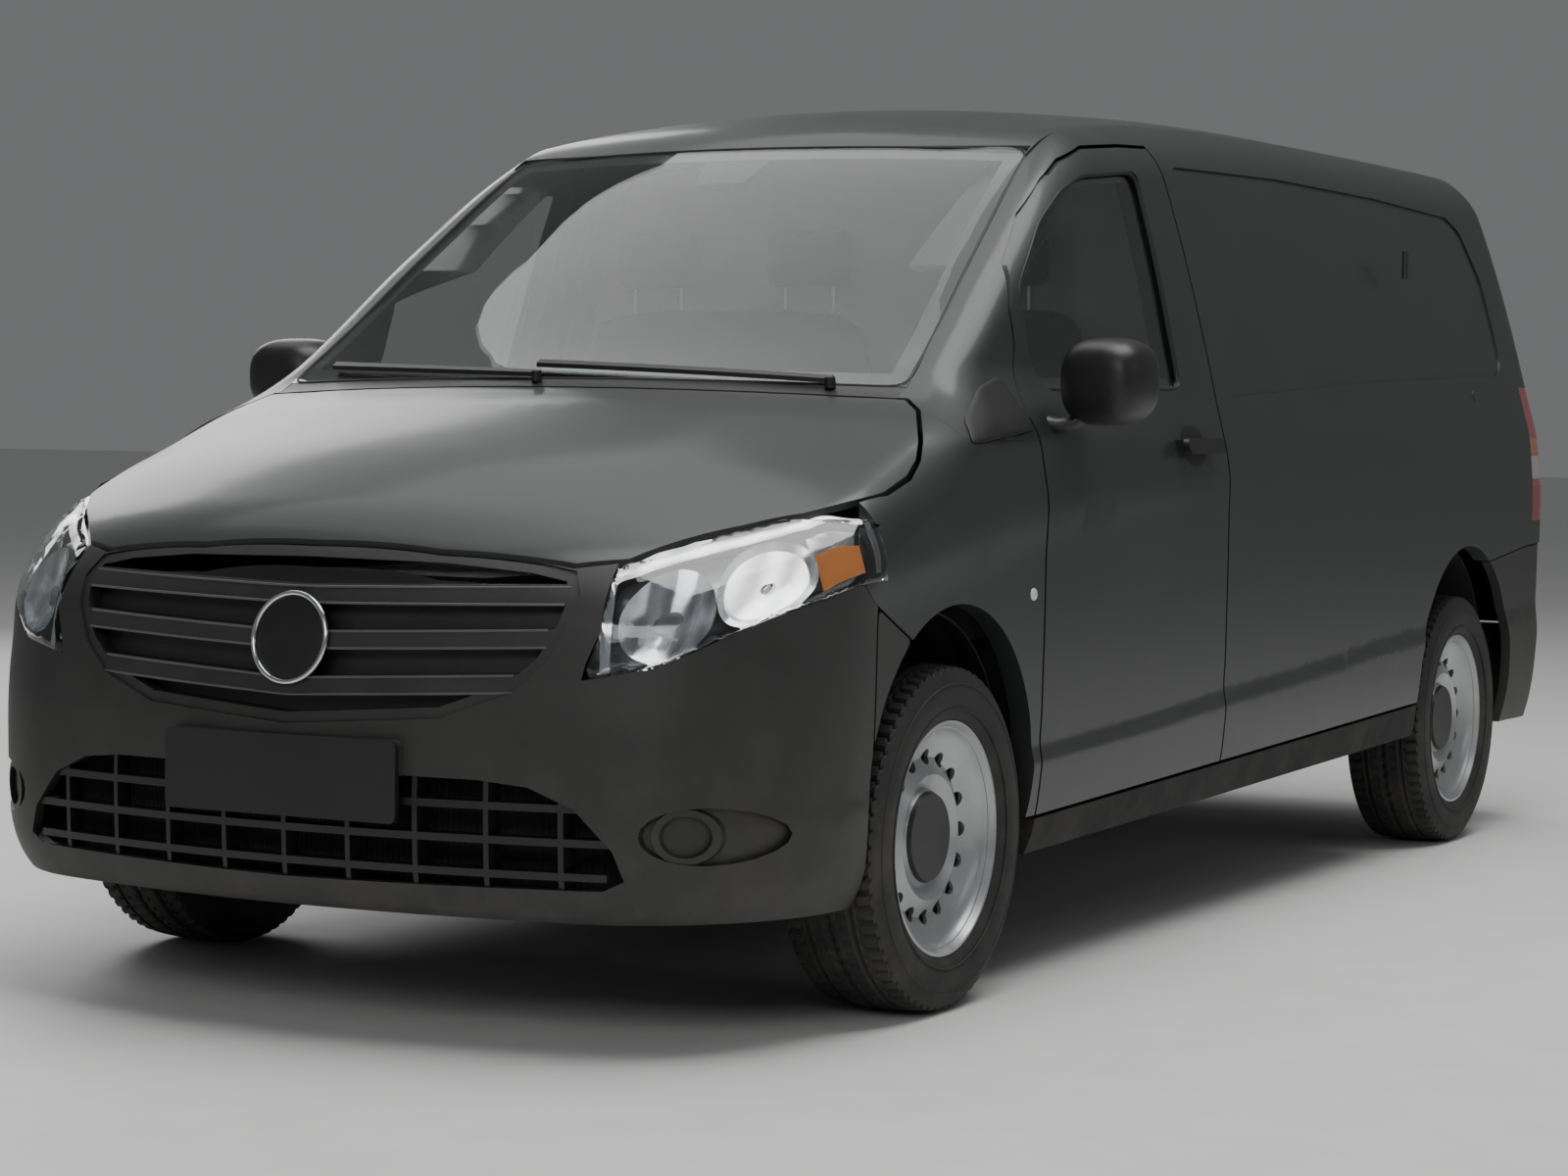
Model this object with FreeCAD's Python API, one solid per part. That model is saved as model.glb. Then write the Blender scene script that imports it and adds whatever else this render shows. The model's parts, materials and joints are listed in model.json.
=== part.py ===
"""Mid-size panel van, built as separate pressed, moulded and glazed pieces.

Frame: +Z up, ground at z = 0, the nose looks along -Y and the van's left side is +X.
Every outer panel is a slab cut from one smooth body form. The form is the rounded
meeting of four surfaces: the side, the top (bonnet, windscreen and roof in one
profile), the front and the rear. A panel samples that form with rays, gets its own
wall thickness inwards, and is trimmed along its shut lines by prisms.
"""
import FreeCAD, Part
import math
import os

os.makedirs("parts", exist_ok=True)
Vector = FreeCAD.Vector

# Driving dimensions of the whole vehicle
BODY_LENGTH = 4895.0
BODY_WIDTH = 1928.0
BODY_HEIGHT = 1905.0
WHEELBASE = 3200.0
FRONT_OVERHANG = 895.0
TRACK_FRONT = 1666.0
TRACK_REAR = 1646.0
SHUT_GAP = 8.0
TRIM_GAP = 3.0
SEAT_GAP = 0.3

# Body form
FRONT_SWEEP = 190.0
TOP_SWEEP = 200.0
REAR_SWEEP = 50.0
GREENHOUSE_TAPER = 92.0
NOSE_CORNER_RADIUS = 300.0
REAR_CORNER_RADIUS = 100.0
CREASE_RISE = 9.0
CREASE_WIDTH = 60.0
LEDGE_RISE = 8.0
LEDGE_WIDTH = 45.0

# Panels
OUTER_WALL = 45.0
DOOR_WALL = 62.0
HOOD_WALL = 12.0
HOOD_GAP = 10.0
ROOF_WALL = 30.0
BUMPER_WALL = 26.0
GLASS_WALL = 6.0
SCREEN_WALL = 7.0
SIDE_SEAM_X = 660.0
SCREEN_FOOT_X = 752.0

# Wheels
TYRE_RADIUS = 338.0
TYRE_WIDTH = 225.0
RIM_RADIUS = 228.5
RIM_WIDTH = 188.0
RIM_WALL = 6.0
RIM_HOLE_RADIUS = 15.0
RIM_HOLE_CIRCLE = 156.0
RIM_HOLE_COUNT = 16
HUB_RADIUS = 94.0
STUB_RADIUS = 30.0
RUNNING_GAP = 0.05
FRONT_ARCH_RADIUS = 362.0
REAR_ARCH_RADIUS = 405.0
FRONT_ARCH_Z = 430.0
REAR_ARCH_Z = 405.0
KINGPIN_X = 725.0
KINGPIN_LEAN = 10.5
LINER_RADIUS = 400.0

FRONT_Y = -BODY_LENGTH / 2
REAR_Y = BODY_LENGTH / 2
HALF_WIDTH = BODY_WIDTH / 2
FRONT_AXLE_Y = FRONT_Y + FRONT_OVERHANG
REAR_AXLE_Y = FRONT_AXLE_Y + WHEELBASE
FRONT_WHEEL_X = TRACK_FRONT / 2
REAR_WHEEL_X = TRACK_REAR / 2

# Height share, half-width share: the side of the body at its widest station
SIDE_SHARES = (
    (0.10, 0.905), (0.17, 0.968), (0.26, 0.990), (0.40, 0.997), (0.51, 0.998), (0.56, 0.988),
    (0.62, 0.964), (0.68, 0.936), (0.79, 0.880), (0.89, 0.820), (1.00, 0.740), (1.20, 0.600),
)
# Length share from the nose, height share: bonnet, windscreen and roof along the middle
TOP_SHARES = (
    (-0.02, 0.430), (0.010, 0.465), (0.022, 0.480), (0.050, 0.520), (0.095, 0.569), (0.150, 0.612),
    (0.185, 0.636), (0.205, 0.662), (0.280, 0.792), (0.345, 0.901), (0.375, 0.942), (0.410, 0.967),
    (0.470, 0.985), (0.560, 0.996), (0.660, 1.000), (0.780, 1.000), (0.900, 0.998), (1.02, 0.992),
)
# Length share from the nose, share of the body width that the top drops at its edge
CROWN_SHARES = (
    (0.00, 0.036), (0.10, 0.036), (0.17, 0.020), (0.21, 0.004), (0.30, 0.006), (0.37, 0.016),
    (0.42, 0.040), (0.50, 0.048), (1.02, 0.040),
)
# Height share, length share that the nose stands back from the bumper's foremost point
NOSE_SHARES = (
    (0.10, 0.0220), (0.135, 0.0065), (0.17, 0.0030), (0.23, 0.0020), (0.30, 0.0028), (0.37, 0.0065),
    (0.43, 0.0112), (0.47, 0.0170), (0.50, 0.0240), (0.60, 0.0500), (1.00, 0.1500),
)
# Height share, length share that the tail stands forward of the bumper's rearmost point
TAIL_SHARES = (
    (0.10, 0.0090), (0.20, 0.0005), (0.30, 0.0000), (0.42, 0.0000), (0.55, 0.0015), (0.70, 0.0060),
    (0.85, 0.0120), (0.97, 0.0185), (1.10, 0.0270),
)
# Length share from the nose, height share: the shoulder crease and the lower ledge
CREASE_SHARES = ((0.19, 0.481), (0.255, 0.505), (0.40, 0.537), (0.53, 0.557), (0.67, 0.577), (1.0, 0.594))
LEDGE_SHARES = ((0.19, 0.240), (0.35, 0.255), (0.47, 0.271), (0.60, 0.286), (0.72, 0.304), (1.0, 0.320))
# Length share from the nose, share of the body width of the top edge's round
EDGE_SHARES = ((0.0, 0.045), (0.10, 0.052), (0.17, 0.050), (0.22, 0.030), (0.34, 0.034), (0.45, 0.060),
               (1.0, 0.060))


def smooth(table, t):
    """A smooth curve through a table of pairs, with its end slopes carried on."""
    if t <= table[0][0]:
        (a, fa), (b, fb) = table[0], table[1]
        return fa + (fb - fa) / (b - a) * (t - a)
    if t >= table[-1][0]:
        (a, fa), (b, fb) = table[-2], table[-1]
        return fb + (fb - fa) / (b - a) * (t - b)
    i = max(k for k in range(len(table) - 1) if table[k][0] <= t)

    def slope(k):
        if k == 0 or k == len(table) - 1:
            j = min(k, len(table) - 2)
            return (table[j + 1][1] - table[j][1]) / (table[j + 1][0] - table[j][0])
        before = (table[k][1] - table[k - 1][1]) / (table[k][0] - table[k - 1][0])
        after = (table[k + 1][1] - table[k][1]) / (table[k + 1][0] - table[k][0])
        return 0.0 if before * after <= 0 else 2 * before * after / (before + after)

    (a, fa), (b, fb) = table[i], table[i + 1]
    h = b - a
    s = (t - a) / h
    return (fa * (1 + 2 * s) * (1 - s) ** 2 + slope(i) * h * s * (1 - s) ** 2
            + fb * s * s * (3 - 2 * s) + slope(i + 1) * h * s * s * (s - 1))


def ease(t):
    """Zero below 0, one above 1, a smooth step between."""
    t = min(max(t, 0.0), 1.0)
    return t * t * (3 - 2 * t)


def along(y):
    """Share of the body length from the nose."""
    return (y - FRONT_Y) / BODY_LENGTH


def crease_z(y):
    """Height of the side crease at a station."""
    return BODY_HEIGHT * smooth(CREASE_SHARES, along(y))


def ledge_z(y):
    """Height of the lower side ledge at a station."""
    return BODY_HEIGHT * smooth(LEDGE_SHARES, along(y))


BELT_SHARE = 0.575
TAPER_START_SHARE = 0.47
TAPER_END_SHARE = 0.20
TAPER_BAND_SHARE = 0.09


def half_width(y, z):
    """Half width of the body side at a station and a height."""
    width = HALF_WIDTH * smooth(SIDE_SHARES, z / BODY_HEIGHT)
    forward = (TAPER_START_SHARE - along(y)) / (TAPER_START_SHARE - TAPER_END_SHARE)
    if forward > 0:
        upper = ease((z / BODY_HEIGHT - BELT_SHARE) / TAPER_BAND_SHARE)
        width -= GREENHOUSE_TAPER * upper * forward ** 1.3
    width += CREASE_RISE * (math.exp(-((z - crease_z(y)) / CREASE_WIDTH) ** 2) - 1) / 2
    width += LEDGE_RISE * (ease((ledge_z(y) - z) / LEDGE_WIDTH + 0.5) - 1)
    return width


def top_height(x, y):
    """Height of the bonnet, windscreen or roof above the ground."""
    out = (x / HALF_WIDTH) ** 2
    share = along(y - TOP_SWEEP * out)
    return BODY_HEIGHT * smooth(TOP_SHARES, share) - BODY_WIDTH * smooth(CROWN_SHARES, share) * out


def nose_y(x, z):
    """How far the nose stands back at a height."""
    return (FRONT_Y + BODY_LENGTH * smooth(NOSE_SHARES, z / BODY_HEIGHT)
            + FRONT_SWEEP * (x / HALF_WIDTH) ** 2)


def tail_y(x, z):
    """How far the tail stands back at a height."""
    return (REAR_Y - BODY_LENGTH * smooth(TAIL_SHARES, z / BODY_HEIGHT)
            - REAR_SWEEP * (x / HALF_WIDTH) ** 2)


def rounded(a, b, radius):
    """Meeting of two signed distances with a round of this radius."""
    u, v = a + radius, b + radius
    return min(max(u, v), 0.0) + math.hypot(max(u, 0.0), max(v, 0.0)) - radius


def form(x, y, z):
    """Signed distance to the body form, negative inside."""
    x = abs(x)
    side = x - half_width(y, z)
    top = z - top_height(x, y)
    front = nose_y(x, z) - y
    rear = y - tail_y(x, z)
    edge = BODY_WIDTH * smooth(EDGE_SHARES, along(y))
    body = rounded(side, front, NOSE_CORNER_RADIUS)
    body = rounded(body, top, edge)
    return rounded(body, rear, REAR_CORNER_RADIUS)


REACH = BODY_LENGTH
TOLERANCE = 0.002
STEPS = 60


def hit(origin, direction, level):
    """Point on a ray where the form reaches a level, by false position."""
    def value(t):
        p = origin + direction * t
        return form(p.x, p.y, p.z) - level

    low, high = 0.0, REACH / 100
    f_low = value(low)
    f_high = value(high)
    while f_high < 0:
        low, f_low = high, f_high
        high += REACH / 100
        f_high = value(high)
    side = 0
    for _ in range(STEPS):
        t = high - f_high * (high - low) / (f_high - f_low)
        f = value(t)
        if abs(f) < TOLERANCE:
            break
        if f > 0:
            high, f_high = t, f
            if side == 1:
                f_low /= 2
            side = 1
        else:
            low, f_low = t, f
            if side == -1:
                f_high /= 2
            side = -1
    return origin + direction * t


def spacing(lines):
    """Parameters of a family of lines: the mean running length from line to line."""
    total, steps = 0.0, [0.0]
    for one, two in zip(lines, lines[1:]):
        total += sum(a.distanceToPoint(b) for a, b in zip(one, two)) / len(one)
        steps.append(total)
    return steps


def threaded(points, parameters):
    """A smooth curve through points at given parameters."""
    curve = Part.BSplineCurve()
    curve.interpolate(Points=list(points), Parameters=parameters)
    return curve


def fill(grid):
    """A smooth surface through a grid of points, with its parameters spaced as the points are."""
    columns, rows = spacing(grid), spacing(list(zip(*grid)))
    upright = [threaded(line, rows) for line in grid]
    level = [threaded(line, columns) for line in zip(*[curve.getPoles() for curve in upright])]
    net = list(zip(*[curve.getPoles() for curve in level]))
    surface = Part.BSplineSurface()
    surface.buildFromPolesMultsKnots(net, level[0].getMultiplicities(), upright[0].getMultiplicities(),
                                     level[0].getKnots(), upright[0].getKnots(), False, False,
                                     level[0].Degree, upright[0].Degree)
    return surface


def slab(ray, columns, rows, wall, level=0.0):
    """A curved slab: outer face on the form at a level, inner face one wall deeper.

    ray gives an origin and a direction for each pair of shares (u, v).
    """
    outer, inner = [], []
    for i in columns:
        outer_row, inner_row = [], []
        for j in rows:
            origin, direction = ray(i, j)
            outer_row.append(hit(origin, direction, level))
            inner_row.append(hit(origin, direction, level - wall))
        outer.append(outer_row)
        inner.append(inner_row)
    return between(fill(outer), fill(inner))


def between(one, two):
    """The solid between two surfaces that share their parameters."""
    faces = [one.toShape(), two.toShape()]
    u0, u1, v0, v1 = one.bounds()
    p0, p1, q0, q1 = two.bounds()
    for a, b in ((one.uIso(u0), two.uIso(p0)), (one.uIso(u1), two.uIso(p1)),
                 (one.vIso(v0), two.vIso(q0)), (one.vIso(v1), two.vIso(q1))):
        faces.append(Part.makeRuledSurface(a.toShape(), b.toShape()))
    shell = Part.makeShell(faces)
    shell.sewShape()
    solid = Part.Solid(Part.Shell(shell.Faces) if shell.ShapeType == "Compound" else shell)
    if solid.Volume < 0:
        solid.reverse()
    return solid


def spread(low, high, count):
    """Evenly spaced values from low to high."""
    return [low + (high - low) * k / (count - 1) for k in range(count)]


def outline(points):
    """Closed outline of straight runs."""
    return Part.makePolygon(list(points) + [points[0]])


def rounded_outline(points, radius):
    """Closed outline whose corners are arcs of one radius, or less on a short run."""
    edges, starts, ends = [], [], []
    count = len(points)
    for k in range(count):
        p, a, b = points[k], points[k - 1], points[(k + 1) % count]
        to_a, to_b = (a - p), (b - p)
        turn = to_a.getAngle(to_b)
        cut = min(radius / math.tan(turn / 2), 0.45 * to_a.Length, 0.45 * to_b.Length)
        to_a.normalize()
        to_b.normalize()
        start, end = p + to_a * cut, p + to_b * cut
        middle = (to_a + to_b)
        middle.normalize()
        r = cut * math.tan(turn / 2)
        apex = p + middle * (r / math.sin(turn / 2) - r)
        starts.append(start)
        ends.append(end)
        edges.append((start, apex, end))
    wire = []
    for k in range(count):
        start, apex, end = edges[k]
        wire.append(Part.Arc(start, apex, end).toShape())
        wire.append(Part.LineSegment(end, starts[(k + 1) % count]).toShape())
    return Part.Wire(wire)


def prism(points, axis, low, high, radius=0.0):
    """A prism from an outline in the two other axes, from low to high along an axis."""
    place = {"x": lambda a, b: Vector(low, a, b), "y": lambda a, b: Vector(a, low, b),
             "z": lambda a, b: Vector(a, b, low)}[axis]
    along_axis = {"x": Vector(1, 0, 0), "y": Vector(0, 1, 0), "z": Vector(0, 0, 1)}[axis]
    corners = [place(a, b) for a, b in points]
    wire = rounded_outline(corners, radius) if radius > 0 else outline(corners)
    return Part.Face(wire).extrude(along_axis * (high - low))


def cylinder(radius, length, base, direction):
    """Solid cylinder from a point along a direction."""
    return Part.makeCylinder(radius, length, base, direction)


def box(low, high):
    """A box between two corners."""
    return Part.makeBox(high[0] - low[0], high[1] - low[1], high[2] - low[2], Vector(*low))


def mirrored(shape):
    """The mirror image on the other side."""
    return shape.mirror(Vector(0, 0, 0), Vector(1, 0, 0))


def grown(points, gap):
    """An outline moved outwards by a gap, corner by corner."""
    count = len(points)
    area = sum(points[k][0] * points[(k + 1) % count][1] - points[(k + 1) % count][0] * points[k][1]
               for k in range(count))
    sign = 1.0 if area > 0 else -1.0
    moved = []
    for k in range(count):
        a, p, b = points[k - 1], points[k], points[(k + 1) % count]
        one = (p[0] - a[0], p[1] - a[1])
        two = (b[0] - p[0], b[1] - p[1])
        l1, l2 = math.hypot(*one), math.hypot(*two)
        n1 = (one[1] / l1 * sign, -one[0] / l1 * sign)
        n2 = (two[1] / l2 * sign, -two[0] / l2 * sign)
        mid = (n1[0] + n2[0], n1[1] + n2[1])
        scale = gap * 2 / (mid[0] ** 2 + mid[1] ** 2)
        moved.append((p[0] + mid[0] * scale, p[1] + mid[1] * scale))
    return moved


def save(name, shape):
    """Write one node, and print what it holds."""
    shape.exportStep("parts/%s.step" % name)
    print("%-20s solids %d valid %s volume %.4f m3" % (
        name, len(shape.Solids), shape.isValid(), shape.Volume / 1e9))


# Shut lines, as pairs of y and z in the side view
DOOR_FRONT_Y = -1150.0
DOOR_REAR_Y = -152.0
DOOR_FOOT_Z = 345.0
FOOT_RISE_SHARE = 0.0275
WINDOW_CORNER_RADIUS = 45.0
SLIDE_REAR_Y = 840.0
SIDE_TOP_Z = 1765.0
SILL_BOTTOM_Z = 262.0
TAIL_DOOR_TOP_Z = 1792.0
TAIL_DOOR_FOOT_Z = 566.0

# Length share from the nose, height share: the front door's upper edge
DOOR_TOP_SHARES = (
    (0.2831, 0.6800), (0.2850, 0.7160), (0.2995, 0.7700), (0.3300, 0.8280), (0.3566, 0.8700),
    (0.3762, 0.8960),
    (0.4000, 0.9150), (0.4400, 0.9240), (0.4700, 0.9270),
)
# Length share from the nose, height share: the front door's window, from its lower front corner
DOOR_WINDOW_SHARES = (
    (0.2930, 0.6330), (0.2960, 0.7430), (0.3340, 0.8220), (0.3600, 0.8600), (0.3830, 0.8820),
    (0.4360, 0.8950),
    (0.4400, 0.8900), (0.4330, 0.6370),
)
# Length share from the nose, height share: the recess pressed in the side panel
BLANK_SHARES = (
    (0.4780, 0.6290), (0.4780, 0.9080), (0.6260, 0.9160), (0.7740, 0.9130), (0.8950, 0.9030),
    (0.9130, 0.8850),
    (0.9290, 0.8100), (0.9310, 0.6720), (0.6950, 0.6540),
)
# Share of half width, length share from the nose: the bonnet's edge in plan
HOOD_SHARES = (
    (0.000, 0.0268), (0.280, 0.0285), (0.550, 0.0358), (0.640, 0.0440), (0.790, 0.0770), (0.865, 0.0975),
    (0.915, 0.1180), (0.936, 0.1345), (0.938, 0.1530), (0.925, 0.1660), (0.902, 0.1770), (0.840, 0.1990),
)
# Share of half width, height share: front openings seen from ahead
GRILLE_SHARES = (
    (0.000, 0.4735), (0.300, 0.4712), (0.475, 0.4640), (0.560, 0.4560), (0.585, 0.4350), (0.575, 0.4050),
    (0.540, 0.3700), (0.480, 0.3420),
    (0.340, 0.3160), (0.000, 0.3040),
)
LAMP_SHARES = (
    (0.628, 0.4640), (0.720, 0.4800), (0.800, 0.5020), (0.880, 0.5260), (0.980, 0.5300), (1.010, 0.5000),
    (1.000, 0.4500), (0.960, 0.4330), (0.905, 0.4170), (0.800, 0.3840), (0.735, 0.3680), (0.612, 0.3560),
    (0.618, 0.3720), (0.640, 0.4020),
)
LAMP_REAR_SHARE = 0.1180
INTAKE_SHARES = (
    (0.000, 0.2620), (0.420, 0.2600), (0.520, 0.2550), (0.610, 0.2360), (0.680, 0.1980), (0.700, 0.1700),
    (0.660, 0.1600), (0.000, 0.1560),
)
# Length share from the nose, height share: the joint of bumper and wing
WING_SEAM_SHARES = ((0.1200, 0.5000), (0.0950, 0.4560), (0.1080, 0.4260), (0.1460, 0.3800),
                    (0.1460, 0.1000))

FINE = 1.0
CORE_X = 350.0
EPS_SHARE = 0.002


def at(share):
    """Station for a share of the length from the nose."""
    return FRONT_Y + BODY_LENGTH * share


def side_points(shares):
    """Outline in the side view from length and height shares."""
    return [(at(a), BODY_HEIGHT * b) for a, b in shares]


def front_points(shares):
    """Outline seen from ahead, from shares of half width and height, on the left side."""
    return [(HALF_WIDTH * a, BODY_HEIGHT * b) for a, b in shares]


def both_sides(points):
    """An outline completed by its mirror image, for points that start and end at the middle."""
    return list(points) + [(-a, b) for a, b in reversed(points) if a > 0]


def foot_z(y):
    """Height of the bottom edge of the doors and side panels."""
    return DOOR_FOOT_Z + FOOT_RISE_SHARE * (y - DOOR_FRONT_Y)


FAN_DEPTH = 190.0
FAN_TOP_Z = 1700.0
FAN_TURN_Y = 2150.0
ROW_FOOT_Z = 250.0
FAN_SHARE = 0.96


def row_height(y, start, row):
    """Height of a row below the fan, with rows that run along the ledge and the crease."""
    crease = min(crease_z(y), start - CREASE_WIDTH)
    steps = ((0.0, ROW_FOOT_Z), (LEDGE_ROW_SHARE, ledge_z(y)), (CREASE_ROW_SHARE, crease), (1.0, start))
    for (low, a), (high, b) in zip(steps, steps[1:]):
        if row <= high:
            return a + (b - a) * (row - low) / (high - low)
    return start


def graded(low, high, first, last, count):
    """Stations from low to high whose steps go evenly from a first to a last share."""
    steps = [first + (last - first) * k / (count - 2) for k in range(count - 1)]
    stations = [low]
    for step in steps:
        stations.append(stations[-1] + (high - low) * step / sum(steps))
    return stations


def side_ray(column, row):
    """Ray for the side skin. A row runs 0 to 1 up the side, then 1 to 2 over the roof's edge."""
    y, plan = column
    start = min(top_height(CORE_X, y) - FAN_DEPTH, FAN_TOP_Z)
    seam = SIDE_SEAM_X * FAN_SHARE
    limit = math.atan2(top_height(seam, y) - start, seam - CORE_X)
    z = row_height(y, start, min(row, 1.0))
    tilt = limit * max(row - 1.0, 0.0)
    p = math.radians(plan)
    return (Vector(CORE_X, y, z),
            Vector(math.cos(tilt) * math.cos(p), math.cos(tilt) * math.sin(p), math.sin(tilt)))


def level_ray(column, row):
    """Level ray for the front skin: column is a plan angle from the nose, row a height."""
    p = math.radians(column)
    return Vector(0, NOSE_FAN_Y, row), Vector(math.sin(p), -math.cos(p), 0)


def tail_ray(column, row):
    """Level ray for the rear bumper: column is a plan angle from the tail, row a height."""
    p = math.radians(column)
    return Vector(0, TAIL_FAN_Y, row), Vector(math.sin(p), math.cos(p), 0)


def top_ray(column, row):
    """Upright ray: column is a half-width share, row a share of the length as swept by the top."""
    x = HALF_WIDTH * column
    return Vector(x, at(row) + TOP_SWEEP * column ** 2, TOP_START_Z), Vector(0, 0, 1)


def tail_edge(z):
    """Outer edge of the rear doors at a height."""
    return half_width(FAN_TURN_Y, z) - TAIL_DOOR_INSET


def tail_door_outline(gap):
    """Rear door opening, both leaves, seen from behind."""
    low, high = TAIL_DOOR_FOOT_Z - gap, TAIL_DOOR_TOP_Z + gap
    edge = [(tail_edge(z) + gap, z) for z in spread(low, high, 9)]
    return edge + [(-x, z) for x, z in reversed(edge)]


def rear_ray(column, row):
    """Level ray along the van for the rear doors: column is a share of the leaf, row a height."""
    x = CENTRE_GAP / 2 + column * (tail_edge(row) - CENTRE_GAP / 2)
    return Vector(x, FAN_TURN_Y, row), Vector(0, 1, 0)


NOSE_FAN_Y = -1700.0
TAIL_FAN_Y = 1700.0
TOP_START_Z = 700.0
LEDGE_ROW_SHARE = 0.25
CREASE_ROW_SHARE = 0.60
LOW_ROW_SHARES = (0.0, 0.10, 0.17, 0.21, 0.235, 0.25, 0.265, 0.29, 0.34, 0.42, 0.49, 0.54, 0.575, 0.60,
                  0.625,
                  0.665, 0.73, 0.82, 0.91, 1.0)
SIDE_ROWS = LOW_ROW_SHARES + (1.1, 1.25, 1.42, 1.6, 1.8, 2.0)
WING_ROWS = LOW_ROW_SHARES + (1.06, 1.12, 1.18, 1.25, 1.33, 1.45, 1.6, 1.8, 2.0)
PILLAR_ROWS = (0.60, 0.625, 0.665, 0.73, 0.82, 0.91, 1.0, 1.1, 1.2, 1.32, 1.45, 1.6, 1.8, 2.0)
CORNER_PLANS = (4.0, 8.0, 12.0, 16.0, 20.0, 24.0, 28.0, 32.0, 36.0, 40.0)
STEP_FAR_SHARE = 0.30
STEP_NEAR_SHARE = 0.045
FAR = 3000.0
SCREEN_FOOT_SHARE = 0.1895
SCREEN_HEAD_SHARE = 0.3560
SCREEN_HEAD_X = 655.0
COWL_SHARE = 0.1790


def screen_outline(gap):
    """Windscreen in plan: its foot and head follow the top's sweep."""
    foot_x, head_x = SCREEN_FOOT_X + gap, SCREEN_HEAD_X + gap
    foot = [(x, at(SCREEN_FOOT_SHARE) - gap + TOP_SWEEP * (x / HALF_WIDTH) ** 2)
            for x in spread(-foot_x, foot_x, 17)]
    head = [(x, at(SCREEN_HEAD_SHARE) + gap + TOP_SWEEP * (x / HALF_WIDTH) ** 2)
            for x in spread(head_x, -head_x, 17)]
    return foot + head


def hood_outline(gap):
    """Bonnet in plan."""
    half = [(HALF_WIDTH * a, at(b)) for a, b in HOOD_SHARES]
    last = HALF_WIDTH * HOOD_SHARES[-1][0]
    rear = [(x, at(COWL_SHARE) + TOP_SWEEP * (x / HALF_WIDTH) ** 2)
            for x in spread(HALF_WIDTH * HOOD_REAR_X_SHARE, 0, 7)]
    left = half + rear
    points = left[:-1] + [left[-1]] + [(-x, y) for x, y in reversed(left[1:-1])]
    return grown(points, gap) if gap else points


HOOD_REAR_X_SHARE = 0.80


def door_outline(gap):
    """Front door in the side view."""
    points = [(DOOR_FRONT_Y, foot_z(DOOR_FRONT_Y)), (DOOR_FRONT_Y, BODY_HEIGHT * 0.604)]
    points += side_points(DOOR_TOP_SHARES[:-1])
    points += [(DOOR_REAR_Y, BODY_HEIGHT * DOOR_TOP_SHARES[-1][1]), (DOOR_REAR_Y, foot_z(DOOR_REAR_Y))]
    return grown(points, gap) if gap else points


def side_skin(columns, wall, level=0.0, rows=None):
    """Shell under the side surface, over columns and rows of height."""
    return slab(side_ray, columns, rows or SIDE_ROWS, wall, level)


def front_skin(wall, level, low, high, plans, rows=11):
    """Shell under the nose surface between two heights."""
    return slab(level_ray, plans, spread(low, high, rows), wall, level)


def arch(y, z, radius, side=1):
    """Cylinder that opens a wheel arch on one side."""
    return cylinder(radius, FAR, Vector(0, y, z), Vector(side, 0, 0))


def side_columns(low, high, count):
    """Evenly spaced side stations without a plan angle."""
    return [(y, 0.0) for y in spread(low, high, count)]


def corner_columns():
    """Stations that turn round the rear corner."""
    return [(FAN_TURN_Y, plan) for plan in CORNER_PLANS]


BUMPER_SEAM_SHARES = ((0.874, 0.399), (0.945, 0.416), (1.05, 0.428), (1.05, 0.100), (0.874, 0.100))
LAMP_LOW_SHARE = 0.455
LAMP_HIGH_SHARE = 0.655
LAMP_FRONT_SHARE = 0.9556


def build_side_panel():
    """Left side panel, from the centre pillar round the rear corner."""
    stations = graded(DOOR_REAR_Y - SHUT_GAP, FAN_TURN_Y, STEP_FAR_SHARE, STEP_NEAR_SHARE, 14)
    columns = [(y, 0.0) for y in stations] + corner_columns()
    panel = side_skin(columns, OUTER_WALL)
    start = DOOR_REAR_Y + SHUT_GAP
    seam = side_points(BUMPER_SEAM_SHARES)
    keep = prism([(start, foot_z(start)), (start, FAR), (FAR, FAR), (FAR, foot_z(FAR))], "x", 0, FAR)
    panel = panel.common(keep)
    panel = panel.cut(prism(grown(seam, TRIM_GAP), "x", 0, FAR))
    panel = panel.cut(arch(REAR_AXLE_Y, REAR_ARCH_Z, REAR_ARCH_RADIUS))
    panel = panel.cut(box((0, -FAR, 0), (SIDE_SEAM_X + SEAT_GAP, FAR, FAR)))
    panel = panel.cut(prism(tail_door_outline(SHUT_GAP), "y", FAN_TURN_Y, FAR))
    pocket = lamp_prism(SEAT_GAP)
    lamp = side_skin(columns, OUTER_WALL)
    lamp = lamp.common(lamp_prism(0.0))
    lamp = lamp.cut(prism(tail_door_outline(SHUT_GAP), "y", FAN_TURN_Y, FAR))
    panel = panel.cut(pocket)
    return largest(panel), largest(lamp)


def build_centre_post(hold):
    """Left centre post, which the doors close against. hold is how deep it enters the side panel."""
    low, high = FLOOR_TOP_Z + SEAT_GAP, SIDE_TOP_Z + POST_WALL * 2
    inner = side_columns(DOOR_REAR_Y + SHUT_GAP * 2, POST_REAR_Y, 3)
    depth = DOOR_WALL - OUTER_WALL + POST_WALL / 2
    post = side_skin(side_columns(POST_FRONT_Y, POST_REAR_Y, 3), POST_WALL, -DOOR_WALL - POST_GAP)
    post = post.fuse(side_skin(inner, depth, hold - OUTER_WALL)).common(box((0, -FAR, low),
                                                                            (FAR, FAR, high)))
    head = side_skin(inner, depth, FINE * 2 - OUTER_WALL)
    return post.fuse(head.common(box((0, -FAR, SIDE_TOP_Z + SHUT_GAP * 1.5), (FAR, FAR, high))))


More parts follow.
